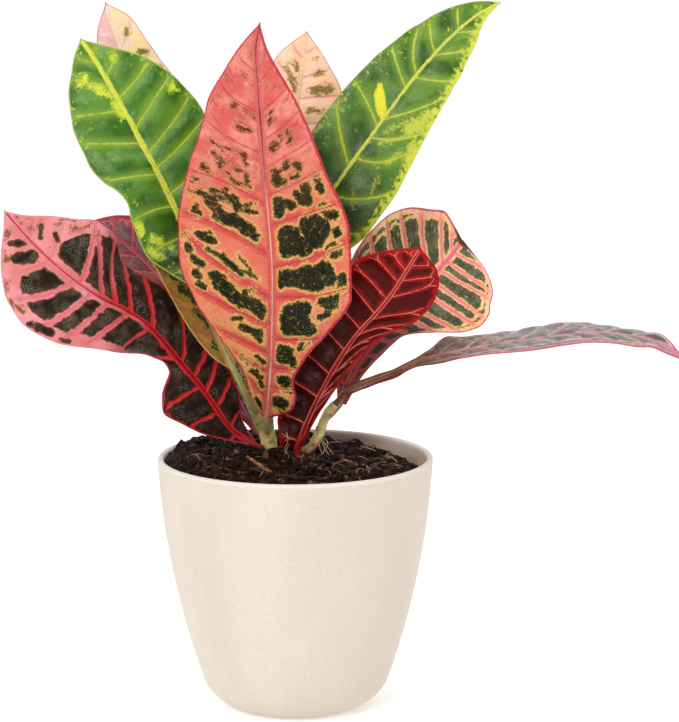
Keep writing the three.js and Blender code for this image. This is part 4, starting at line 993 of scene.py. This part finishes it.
def potMaterial():
    material, tree = newMaterial("cream pot")
    place = objectPlace(tree)
    east, north, level = axes(place)
    drawnOut = lambda *factors: vectorMath("MULTIPLY", place, factors)
    wide = noise(drawnOut(1, 1, 0.5), 18, 3.0)
    colour = mixed(wide.ramp(0.35, 0.65), tint(240, 228, 213), tint(234, 220, 204))
    grain = noise(place, 520, 4.0, 0.75)
    colour = mixed(grain.ramp(0.5, 0.7) * 0.3, colour, tint(216, 198, 176))
    # Short plant fibres pressed into the wall, lying in two directions
    fibre = noise(drawnOut(1, 1, 5), 300).ramp(0.68, 0.74) + noise(drawnOut(4, 4, 1), 260).ramp(0.7, 0.76)
    colour = mixed(fibre.least(1.0) * 0.3, colour, tint(186, 160, 134))
    colour = mixed(noise(place, 700, 1.0).ramp(0.66, 0.74) * 0.3, colour, tint(250, 243, 234))
    # Painted highlight: the top of the lip is made paler, as if lit from above
    colour = mixed(level.ramp(0.1257, 0.1272) * 0.7, colour, tint(255, 246, 236))
    # Painted shade: the inside wall above the soil is made warmer and darker, and noisy patches just above the soil are
    # darker still
    inside = ((east * east + north * north) ** 0.5).fall(0.0672, 0.0682) * level.fall(0.1244, 0.1262)
    inside = inside * level.ramp(0.113, 0.115)
    colour = mixed(inside * 0.7, colour, tint(214, 186, 162))
    soilLinePatches = noise(place, 60, 4.0, 0.7).ramp(0.4, 0.6) * level.fall(0.1195, 0.1235)
    colour = mixed(soilLinePatches * inside * 0.5, colour, tint(140, 110, 88))
    return finished(material, colour, grain * 0.16 + 0.48, grain + wide * 2 + fibre * 0.4, 0.00012)


def turnPot(tree, wires):
    height, rim, foot, bulge, corner, wall, floor = (wires[key] for key in potSizes)
    sheet = newNode(tree, "GeometryNodeMeshGrid", 1.0, 1.0, potParts * potRows + 1, potSegments + 1)
    share, turn, _ = axes(newNode(tree, "GeometryNodeInputPosition"))
    share, turn = (share + 0.5) * potParts, (turn + 0.5) * (2 * math.pi)
    part = [(share - k).most(0.0).least(1.0) for k in range(potParts)]

    def wallRadius(level):  # radius of the outer wall at a height
        t = level / height * -1.0 + 1.0
        straight = rim + (foot - rim) * t + bulge * 4.0 * t * (t * -1.0 + 1.0)
        below = (corner - level).most(0.0)
        return straight - corner + (corner * corner - below * below).most(0.0) ** 0.5

    lip = wall * 0.5
    lipLevel = height - lip
    up = lipLevel * part[1] ** 1.5
    down = lipLevel - (lipLevel - floor) * part[3] ** 0.7
    lipTurn = part[2] * math.pi
    radius = wallRadius(up) * part[0] + lip * (lipTurn.math("COSINE") - 1.0) + wallRadius(down) - wallRadius(lipLevel)
    radius = radius * (part[4] * -1.0 + 1.0)
    level = up + lip * lipTurn.math("SINE") + down - lipLevel
    spot = combine(radius * turn.math("COSINE"), radius * turn.math("SINE"), level)
    shaped = newNode(tree, "GeometryNodeSetPosition", Geometry=sheet, Position=spot)
    return newNode(tree, "GeometryNodeMergeByDistance", Geometry=shaped, Distance=1e-5)


potFinish = potMaterial()
potMesh = grow("cream_pot", bpy.data.meshes.new("pot seed"), potSizes, potFinish, turnPot)
shell = bmesh.new()
shell.from_mesh(potMesh)
bmesh.ops.recalc_face_normals(shell, faces=shell.faces)
shell.to_mesh(potMesh)
shell.free()
addPiece("cream_pot", potMesh, [potFinish], ["pot"])


# ---- soil: a lumpy top on a closed body, with crumbs, chips and fibres lying on it

soilShape = {
    "level": 120, "mound": 7, "moundCentre": (-14, 22), "moundSpread": 20, "slope": 0.045, "roughness": 1.1,
    "backRise": 5.5, "leftRise": 2.5, "lumps": 1.3, "rings": 84, "segments": 180, "wallGap": 3.3,
    "wallLevels": (4.3, 5.3, 7, 9.5, 12.7, 40, 70, 100, 112),
    "twigHollow": 3.2, "twigClear": 2.4,  # mm to each side of the twig's axis that sink, and that have no crumbs
}
twigShape = {"path": [[-25, 8, 125.4], [-18, -1, 122.6], [-11, -10, 119.9]], "radii": [0.7, 1.1, 0.9]}


def smoothStep(value, low, high):
    t = np.clip((value - low) / (high - low), 0, 1)
    return t * t * (3 - 2 * t)


def potRadius(z):
    height, rim, foot, bulge, corner, *_ = (size / mm for size in potSizes.values())
    t = 1 - z / height
    straight = rim + (foot - rim) * t + bulge * 4 * t * (1 - t)
    return straight - corner + np.sqrt(np.maximum(corner**2 - np.maximum(corner - z, 0) ** 2, 0))


def twigGap(x, y):  # distance from the twig seen from above, and the share of its length there
    start, end = np.array(twigShape["path"], float)[[0, -1], :2]
    run = end - start
    share = np.clip(((x - start[0]) * run[0] + (y - start[1]) * run[1]) / (run @ run), 0, 1)
    return np.hypot(x - start[0] - share * run[0], y - start[1] - share * run[1]), share


def soilHeight(x, y):
    s = soilShape
    centreX, centreY = s["moundCentre"]
    mound = s["mound"] * np.exp(-((x - centreX) ** 2 + (y - centreY) ** 2) / (2 * s["moundSpread"] ** 2))
    lumps = np.sin(x * 0.31 + 1.3) * np.cos(y * 0.27) + 0.6 * np.sin(x * 0.13 - y * 0.41 + 2)
    back = s["backRise"] * smoothStep(y, 12, 52) * (1 - 0.7 * smoothStep(x, 5, 55))
    left = s["leftRise"] * smoothStep(-x, 25, 60)
    fine = softNoise(x, y, 5.5, 11) + 0.6 * softNoise(x, y, 2.4, 12) + 0.35 * softNoise(x, y, 1.1, 13)
    height = s["level"] + mound + back + left - s["slope"] * x + s["roughness"] * lumps + s["lumps"] * fine
    gap, share = twigGap(x, y)
    first, last = twigShape["path"][0][2], twigShape["path"][-1][2]
    return np.minimum(height, first + (last - first) * share - 0.3 + (gap / s["twigHollow"]) ** 2 * 0.5)


def soilMaterial(name, dark, light, toneShare):
    material, tree = newMaterial(name)
    place = objectPlace(tree)
    broad = noise(place, 160, 4.0, 0.65)
    colour = mixed(broad.ramp(0.38, 0.68), tint(*dark), tint(*light))
    if toneShare:
        tone = attribute(tree, "tone")
        # Crumb tones: reddish-brown bits; the palest bits, partly light grit and partly painted glints; and near-black
        # bits
        for amount, other in ((tone.ramp(0.66, 0.92), (92, 56, 44)), (tone.ramp(0.94, 0.99), (158, 122, 98)),
                              (tone.fall(0.02, 0.3), (18, 11, 8))):
            colour = mixed(amount * toneShare, colour, tint(*other))
    fine = noise(place, 1100, 4.0, 0.65)
    colour = mixed(fine.ramp(0.52, 0.7) * 0.5, colour, tint(112, 80, 66))
    return finished(material, colour, fine * 0.6 + 0.25, fine + broad * 2, 0.0009, 0.1)


def soilBody():
    s = soilShape
    sides, reach = s["segments"], lambda z: potRadius(z) - s["wallGap"]
    angle = np.linspace(0, 2 * math.pi, sides, endpoint=False)
    rings = [np.stack([reach(z) * np.cos(angle), reach(z) * np.sin(angle), np.full_like(angle, z)], -1)
             for z in s["wallLevels"]]
    for radius in reach(s["level"]) * (1 - np.arange(s["rings"]) / s["rings"]):
        x, y = radius * np.cos(angle), radius * np.sin(angle)
        z = soilHeight(x, y)
        fit = np.minimum(1, reach(z) / np.maximum(np.hypot(x, y), 1))
        rings.append(np.stack([x * fit, y * fit, z], -1))
    points = np.vstack(rings + [np.array([[0, 0, s["wallLevels"][0]], [0, 0, soilHeight(0.0, 0.0)]])])
    return newMesh("potting_soil", points * mm, closedQuads(len(rings), sides))


def soilTop(reach):  # open sheet just like the soil's top, for the crumbs to be scattered on
    sides, rings = 90, 40
    angle = np.linspace(0, 2 * math.pi, sides, endpoint=False)
    radius = np.linspace(1, reach, rings)[:, None]
    x, y = (radius * np.cos(angle)).ravel(), (radius * np.sin(angle)).ravel()
    quads = ringQuads(rings, sides)[:, [0, 3, 2, 1]]
    clear = twigGap(x, y)[0] > soilShape["twigClear"]
    return newMesh("soil top", np.stack([x, y, soilHeight(x, y)], -1) * mm, quads[clear[quads[:, 0]]])


addPiece("potting_soil", soilBody(), [soilMaterial("moist soil", (10, 4, 2), (52, 28, 20), 0)], ["soil"])

scatterSettings = {
    "fine_crumbs": {"Density": 110000.0, "Smallest": 0.0005, "Largest": 0.0016, "Flatness": 0.8, "Seed": 4},
    "coarse_crumbs": {"Density": 30000.0, "Smallest": 0.0013, "Largest": 0.0040, "Flatness": 0.55, "Seed": 9},
    "soil_fibres": {"Density": 42000.0, "Smallest": 0.5, "Largest": 1.7, "Tilt": 0.35, "Seed": 21},
    "soil_chips": {"Density": 21000.0, "Smallest": 0.5, "Largest": 1.5, "Tilt": 0.45, "Seed": 33},
}


def dented(piece, place, scale, detail, amount):  # a piece whose points are pushed about by a noise
    push = vectorMath("SUBTRACT", noise(place, scale, detail, output=1), (0.5, 0.5, 0.5))
    return newNode(piece.tree, "GeometryNodeSetPosition", Geometry=piece, Offset=scaled(push, amount))


def crumbs(tree, subdivisions):  # five lumps to pick from
    position = newNode(tree, "GeometryNodeInputPosition")
    join = tree.nodes.new("GeometryNodeJoinGeometry")
    for kind in range(5):
        ball = newNode(tree, "GeometryNodeMeshIcoSphere", Radius=1.0, Subdivisions=subdivisions)
        shifted = vectorMath("ADD", position, (kind * 7.3, kind * 3.1, kind * 5.7))
        plug(newNode(tree, "GeometryNodeGeometryToInstance", dented(ball, shifted, 0.9, 2.0, 2.4)), join.inputs[0])
    return Wire(join.outputs[0])


def fibre(tree):
    arc = newNode(tree, "GeometryNodeCurveQuadraticBezier", Resolution=6, Start=(-0.0035, 0, 0.0002),
                  Middle=(0.0004, 0.0022, 0.0016), End=(0.0035, -0.0006, 0.0001))
    profile = newNode(tree, "GeometryNodeCurvePrimitiveCircle", Resolution=5, Radius=0.00016)
    return newNode(tree, "GeometryNodeCurveToMesh", Curve=arc, Profile_Curve=profile, Fill_Caps=True)


def chip(tree):
    cube = newNode(tree, "GeometryNodeMeshCube", (0.0040, 0.0017, 0.0006), 5, 3, 2)
    return dented(cube, newNode(tree, "GeometryNodeInputPosition"), 650.0, 1.0, 0.0022)


def strewn(name):  # draws the tree that scatters one kind of litter over a mesh, turned and sized at random
    def draw(tree, wires):
        randomValue = lambda shift, kind="FLOAT", output=1: newNode(
            tree, "FunctionNodeRandomValue", Seed=wires["Seed"] + shift if shift else wires["Seed"],
            data_type=kind, output=output)
        points = newNode(tree, "GeometryNodeDistributePointsOnFaces", Mesh=wires["Geometry"],
                         Density=wires["Density"], Seed=wires["Seed"])
        crumbly = "Flatness" in wires
        scale = wires["Largest"] - wires["Smallest"]
        scale = wires["Smallest"] + scale * randomValue(0) ** (3.0 if crumbly else 2.0)
        turn, pick = randomValue(1.0, "FLOAT_VECTOR", 0), 0
        low, high = turn.socket.node.inputs[:2]
        if crumbly:
            piece = crumbs(tree, 1 if name == "fine_crumbs" else 2)
            high.default_value = (6.28, 6.28, 6.28)
            pick = randomValue(2.0, "INT", 2)
            pick.socket.node.inputs[4].default_value, pick.socket.node.inputs[5].default_value = 0, 4
            size = combine(scale, scale * wires["Flatness"], scale * wires["Flatness"])
        else:
            piece = fibre(tree) if name == "soil_fibres" else chip(tree)
            low.default_value, high.default_value = (-1, -1, 0), (1, 1, 1)
            turn = vectorMath("MULTIPLY", turn, combine(wires["Tilt"], wires["Tilt"], 2 * math.pi))
            size = combine(scale, scale * (randomValue(5.0) + 0.4), scale)
        placed = newNode(tree, "GeometryNodeInstanceOnPoints", Points=points, Instance=piece, Pick_Instance=crumbly,
                         Instance_Index=pick, Rotation=turn, Scale=size)
        return newNode(tree, "GeometryNodeStoreNamedAttribute", Geometry=placed, Name="tone",
                       Value=randomValue(3.0), data_type="FLOAT", domain="INSTANCE")
    return draw


def litterMaterial(name, dark, light):
    material, tree = newMaterial(name)
    grain = noise(objectPlace(tree), 900, 3.0, 0.6)
    colour = mixed(attribute(tree, "tone") ** 4.0, tint(*dark), tint(*light))
    colour = mixed(grain.ramp(0.45, 0.7) * 0.5, colour, tint(*dark))
    return finished(material, colour, grain * 0.4 + 0.45, grain, 0.0004, 0.2)


crumbFinish = soilMaterial("soil crumbs", (12, 5, 3), (68, 37, 28), 0.8)
for name, reach, finish in (
        ("fine_crumbs", 64.0, crumbFinish), ("coarse_crumbs", 64.0, crumbFinish),
        ("soil_fibres", 62.0, litterMaterial("plant fibres", (58, 34, 24), (216, 180, 148))),
        ("soil_chips", 62.0, litterMaterial("bark chips", (26, 14, 10), (156, 104, 78)))):
    addPiece(name, grow(name, soilTop(reach), scatterSettings[name], finish, strewn(name)), [finish])


# ---- stems and twig

stemShapes = {
    "stem_left": {
        "axis": [[-14, 22, 88], [-14, 22, 126], [-15, 21, 134], [-18, 21, 142], [-24, 21, 154], [-30, 21, 166],
                 [-34, 22, 177], [-34, 23, 184]],
        "radii": [3.5, 4.4, 4.2, 3.8, 3.4, 3.2, 3.1, 2.6], "slot": "stem_olive",
        # Leaf scars: height, degrees round the stem, radius
        "scars": [(174, 300, 1.3), (167.5, 280, 1.5), (164.5, 318, 1.3), (156, 305, 2.0), (147, 250, 1.6),
                  (140, 300, 1.7), (161, 215, 1.6), (150, 190, 1.5), (170, 120, 1.6), (155, 80, 1.6), (141, 60, 1.6)],
        "knobs": [(144.5, 350, 5.6, 3.3)],  # height, degrees, spread, rise
        # Material, colours at the foot and higher up, the heights in metres between them, and the colour of the mottles
        "paint": ("olive stem", (252, 228, 148), (142, 138, 66), 0.126, 0.146, (120, 92, 44)),
    },
    "stem_right": {
        "axis": [[3, 20, 92], [4, 20, 124], [8, 20, 128], [11, 20, 133], [14, 20, 141], [17, 20, 147], [20, 19, 151]],
        "radii": [2.2, 2.6, 2.6, 2.6, 2.5, 2.4, 2.2], "slot": "stem_green",
        "scars": [(138, 200, 1.0), (145, 320, 1.0)], "knobs": [],
        "paint": ("young stem", (172, 90, 52), (276, 258, 178), 0.125, 0.134, (208, 170, 106)),
    },
}


def stemMaterial(name, lower, upper, low, high, mottle):
    material, tree = newMaterial(name)
    place = objectPlace(tree)
    patches = noise(place, 240, 4.0, 0.6)
    colour = mixed((axes(place)[2] + (patches - 0.5) * 0.02).ramp(low, high), tint(*lower), tint(*upper))
    colour = mixed(patches.ramp(0.48, 0.66) * 0.55, colour, tint(*mottle))
    scar = attribute(tree, "scar")
    colour = mixed(scar.ramp(0.25, 0.7), colour, tint(222, 208, 172))
    colour = mixed(scar.fall(-0.8, -0.3), colour, tint(84, 66, 36))
    return finished(material, colour, patches * 0.3 + 0.3, patches * 2 + noise(place, 1100), 0.0004)


def buildStem(name, shape, rings=150, sides=36):
    path, radii = smoothPath(shape["axis"], rings), alongPath(shape["radii"], rings)
    points, quads, out = tubeGrid(path, radii, sides)
    ring = points[:rings * sides].reshape(rings, sides, 3)
    scar = np.zeros((rings, sides))
    height = (0.16 * softNoise(ring[..., 2], ring[..., 0] * 2, 3.0, 21)
              + 0.1 * softNoise(ring[..., 2], ring[..., 1], 1.2, 22))

    def gapFrom(level, degrees, rise):  # distance from a place on the stem's surface
        nearest = np.argmin(np.abs(path[:, 2] - level))
        direction = unit(np.array([math.cos(math.radians(degrees)), math.sin(math.radians(degrees)), rise]))
        return np.linalg.norm(ring - (path[nearest] + direction * radii[nearest]), axis=-1)

    for level, degrees, radius in shape["scars"]:
        gap = gapFrom(level, degrees, 0.15)
        rim = np.exp(-((gap - radius) / 0.35) ** 2)
        height += 0.42 * rim - 0.3 * (gap < radius) * (1 - rim)
        scar = np.where(rim > np.abs(scar), rim, scar)
        scar = np.where((gap < radius * 0.8) & (rim < 0.4), -1, scar)
    for level, degrees, reach, rise in shape["knobs"]:
        height += rise * np.exp(-(gapFrom(level, degrees, 0) / reach) ** 2)
    points[:rings * sides] = (ring + out * height[..., None]).reshape(-1, 3)
    mesh = newMesh(name + "_bark", points * mm, quads, {"scar": np.concatenate([scar.ravel(), [0, 0]])})
    addPiece(name + "_bark", mesh, [stemMaterial(*shape["paint"])], [name])


for name, shape in stemShapes.items():
    buildStem(name, shape)


def barkMaterial(name, dark, light):
    material, tree = newMaterial(name)
    fibres = noise(objectPlace(tree), 500, 4.0, 0.7)
    colour = mixed(fibres.ramp(0.35, 0.7), tint(*dark), tint(*light))
    return finished(material, colour, fibres * 0.3 + 0.55, fibres, 0.0005)


def addTubes(name, tubes, finish, replaced=()):  # one piece made of closed tubes
    starts = np.cumsum([0] + [len(points) for points, _ in tubes])
    quads = np.vstack([faces + start for (_, faces), start in zip(tubes, starts)])
    mesh = newMesh(name, np.vstack([points for points, _ in tubes]) * mm, quads)
    addPiece(name, mesh, [finish], replaced)


def looseTwig(rings=60, sides=14):
    path = smoothPath(twigShape["path"], rings)
    points, quads, out = tubeGrid(path, alongPath(twigShape["radii"], rings), sides)
    ring = points[:rings * sides].reshape(rings, sides, 3)
    rough = softNoise(ring[..., 0] * 3, ring[..., 2] * 3 + ring[..., 1], 1.4, 31)
    points[:rings * sides] = (ring + out * (0.22 * rough)[..., None]).reshape(-1, 3)
    return points, quads


addTubes("loose_twig", [looseTwig()], barkMaterial("twig bark", (112, 64, 40), (222, 164, 118)), ["twig"])

# Thin roots at the young stem and a dry thread over the red leaf's foot: path in mm and radius
threadPaths = [
    ([[12.5, 17.6, 132.5], [14.6, 15.4, 129], [14.0, 14.6, 125.6]], 0.34),
    ([[13.4, 17.8, 134], [16.4, 15.6, 131], [15.4, 14.2, 127.4], [17.2, 13.4, 125.2]], 0.3),
    ([[11.6, 17.4, 131], [12.4, 14.6, 128.4], [13.6, 13.4, 125.4]], 0.26),
    ([[13, 17.6, 133], [15.8, 16.2, 129.4], [18.2, 14.8, 126.6], [19.6, 14.4, 125]], 0.24),
    ([[-4.6, 4.4, 139], [-4.0, 5.2, 134], [-5.6, 6.0, 129.6], [-3.6, 6.2, 126], [-4.4, 6.6, 123.4]], 0.2),
    ([[-3.4, 5.0, 132.6], [-5.0, 5.6, 128.8], [-6.2, 6.4, 124.6]], 0.16),
]
# Shreds that lie on the soil: place in mm with the height above the soil, and radius
shredPaths = [
    ([[45.5, 33, 0.4], [48.5, 31.5, 1.8], [51, 33, 0.5]], 0.3),
    ([[47, 29, 0.4], [49.5, 30, 1.6], [52.5, 28.5, 0.6]], 0.34),
    ([[48, 34.5, 0.5], [49.6, 29.5, 1.9], [53, 26.5, 0.5]], 0.28),
    ([[46.5, 30.5, 0.9], [48, 33.5, 2.2], [50.5, 34.5, 1.2]], 0.24),
    ([[34, 13, 0.5], [36.5, 9, 1.3], [36, 3, 0.5]], 0.28), ([[36, 6, 0.5], [38, 1, 1.4], [37, -4, 0.4]], 0.3),
    ([[33.5, 5, 0.5], [36, 2.5, 1.1], [39.5, 0, 0.5]], 0.24), ([[35, 12, 0.8], [37.5, 8, 1.6], [39.5, 4, 0.5]], 0.22),
    ([[-38.8, 40, 0.8], [-37.6, 36.5, 2.6], [-38.4, 31, 2.2], [-37, 27.5, 0.6]], 0.26),
    ([[-46, 14, 0.4], [-44.5, 17.5, 1.2], [-42.5, 20, 0.4]], 0.2),
    ([[-30, 24, 0.4], [-27.5, 26, 1.3], [-26, 29.5, 0.5]], 0.2),
    ([[0.5, 13, 0.6], [2.4, 8, 1.5], [3.4, 1.5, 0.5]], 0.22), ([[4, 14, 0.5], [1.5, 10, 1.2], [-1, 6, 0.5]], 0.2),
    ([[56, 24, 0.4], [53, 20, 1.4], [49, 19, 0.5]], 0.22), ([[29, 27, 0.5], [33, 29, 1.3], [37.5, 27.5, 0.5]], 0.2),
]
# Strips of bark: both ends in mm with the height above the soil, width, thickness
barkStrips = [
    ((49, 27.5, 1.0), (60, 9.5, 0.8), 1.3, 0.5), ((24, 21, 1.0), (28.5, 14, 1.0), 1.9, 0.7),
    ((40, 20, 0.8), (47, 23, 0.9), 1.0, 0.4), ((-52, 22, 0.8), (-47, 27, 0.9), 1.1, 0.4),
    ((-30, -14, 0.8), (-21, -17, 0.7), 1.2, 0.5), ((12, -24, 0.8), (21, -19, 0.8), 1.3, 0.5),
    ((14, 42, 1.0), (24, 46, 0.9), 1.2, 0.5), ((-8, -30, 0.7), (-3, -24, 0.8), 1.0, 0.4),
]


def thread(knots, radius, rings=26, sides=6):  # tapers to its end
    return tubeGrid(smoothPath(knots, rings), np.linspace(radius, radius * 0.6, rings), sides)[:2]


def barkStrip(start, end, width, thickness, rings=16, sides=10):  # flat, ragged, narrow at both ends
    steps = np.linspace(0, 1, rings)[:, None]
    path = np.array(start) * (1 - steps) + np.array(end) * steps
    path[:, 2] += np.mean(soilHeight(path[:, 0], path[:, 1]))
    points, quads, out = tubeGrid(path, np.full(rings, 1.0), sides)
    ring = points[:rings * sides].reshape(rings, sides, 3)
    ragged = 0.75 + 0.3 * softNoise(ring[..., 0] * 2, ring[..., 1] * 2, 1.6, 41)
    ring = ring + out * (width * (ragged * np.clip(8 * steps * (1 - steps) + 0.3, 0, 1)) - 1)[..., None]
    ring[..., 2] = path[:, None, 2] + (ring[..., 2] - path[:, None, 2]) * thickness / width
    points[:rings * sides] = ring.reshape(-1, 3)
    return points, quads


threadPaths += [([[x, y, float(soilHeight(x, y)) + up] for x, y, up in knots], radius) for knots, radius in shredPaths]
addTubes("root_threads", [thread(*each) for each in threadPaths],
         barkMaterial("pale rootlets", (176, 132, 96), (238, 210, 170)))
addTubes("bark_strips", [barkStrip(*each) for each in barkStrips],
         barkMaterial("bark strips", (96, 44, 30), (196, 124, 88)))


# ---- floor, light and camera

def addThing(name, data):
    thing = bpy.data.objects.new(name, data)
    scene.collection.objects.link(thing)
    return thing


def aimed(thing, place, aim):
    thing.location = place
    thing.rotation_euler = (Vector(aim) - Vector(place)).to_track_quat("-Z", "Y").to_euler()


def buildStage():
    mesh = bpy.data.meshes.new("floor")
    mesh.from_pydata([(-40, -6, 0), (40, -6, 0), (40, 60, 0), (-40, 60, 0)], [], [(0, 1, 2, 3)])
    material, tree = newMaterial("pale floor")
    for name, value in (("Base Color", (0.95, 0.95, 0.95, 1)), ("Roughness", 0.8), ("Emission Color", (1, 1, 1, 1)),
                        ("Emission Strength", 0.3)):
        tree.nodes["Principled BSDF"].inputs[name].default_value = value
    mesh.materials.append(material)
    addThing("floor", mesh)


lightAim = (0, 0, 0.2)
lightSettings = {
    # name: place, width, height, power in watts
    "key": ((-0.7, -1.5, 1.3), 0.7, 0.7, 16),
    "fill": ((1.3, -1.1, 0.8), 0.5, 1.1, 4),
    "top": ((0.1, 0.2, 1.8), 1.0, 1.0, 6),
}
backdropStrength, frontStrength = 1.0, 0.5  # world light from behind the plant and from the camera's side


def buildLights():
    scene.world = bpy.data.worlds.new("white studio")
    scene.world.use_nodes = True
    tree = scene.world.node_tree
    north = axes(newNode(tree, "ShaderNodeTexCoord", output="Generated"))[1]
    background = tree.nodes["Background"]
    background.inputs["Color"].default_value = (1, 1, 1, 1)
    plug(north.ramp(-0.35, 0.5) * (backdropStrength - frontStrength) + frontStrength, background.inputs["Strength"])
    for name, (place, width, height, power) in lightSettings.items():
        light = bpy.data.lights.new(name, "AREA")
        light.shape = "RECTANGLE"
        light.size, light.size_y, light.energy = width, height, power
        aimed(addThing(name, light), place, lightAim)


cameraSettings = {
    "place": (0.02243, -0.98722, 0.33576), "aim": (0.02243, 0, 0.1764), "sensor": 36,
    "focal": 1979.07, "longSide": 722,  # focal length and the picture's longer side, in pixels
}


def buildCamera():
    s = cameraSettings
    lens = bpy.data.cameras.new("camera")
    lens.sensor_width, lens.lens = s["sensor"], s["focal"] * s["sensor"] / s["longSide"]
    scene.camera = addThing("camera", lens)
    aimed(scene.camera, s["place"], s["aim"])


buildStage()
buildLights()
buildCamera()
scene.view_settings.view_transform = "Standard"
print("stage, lights and camera set")
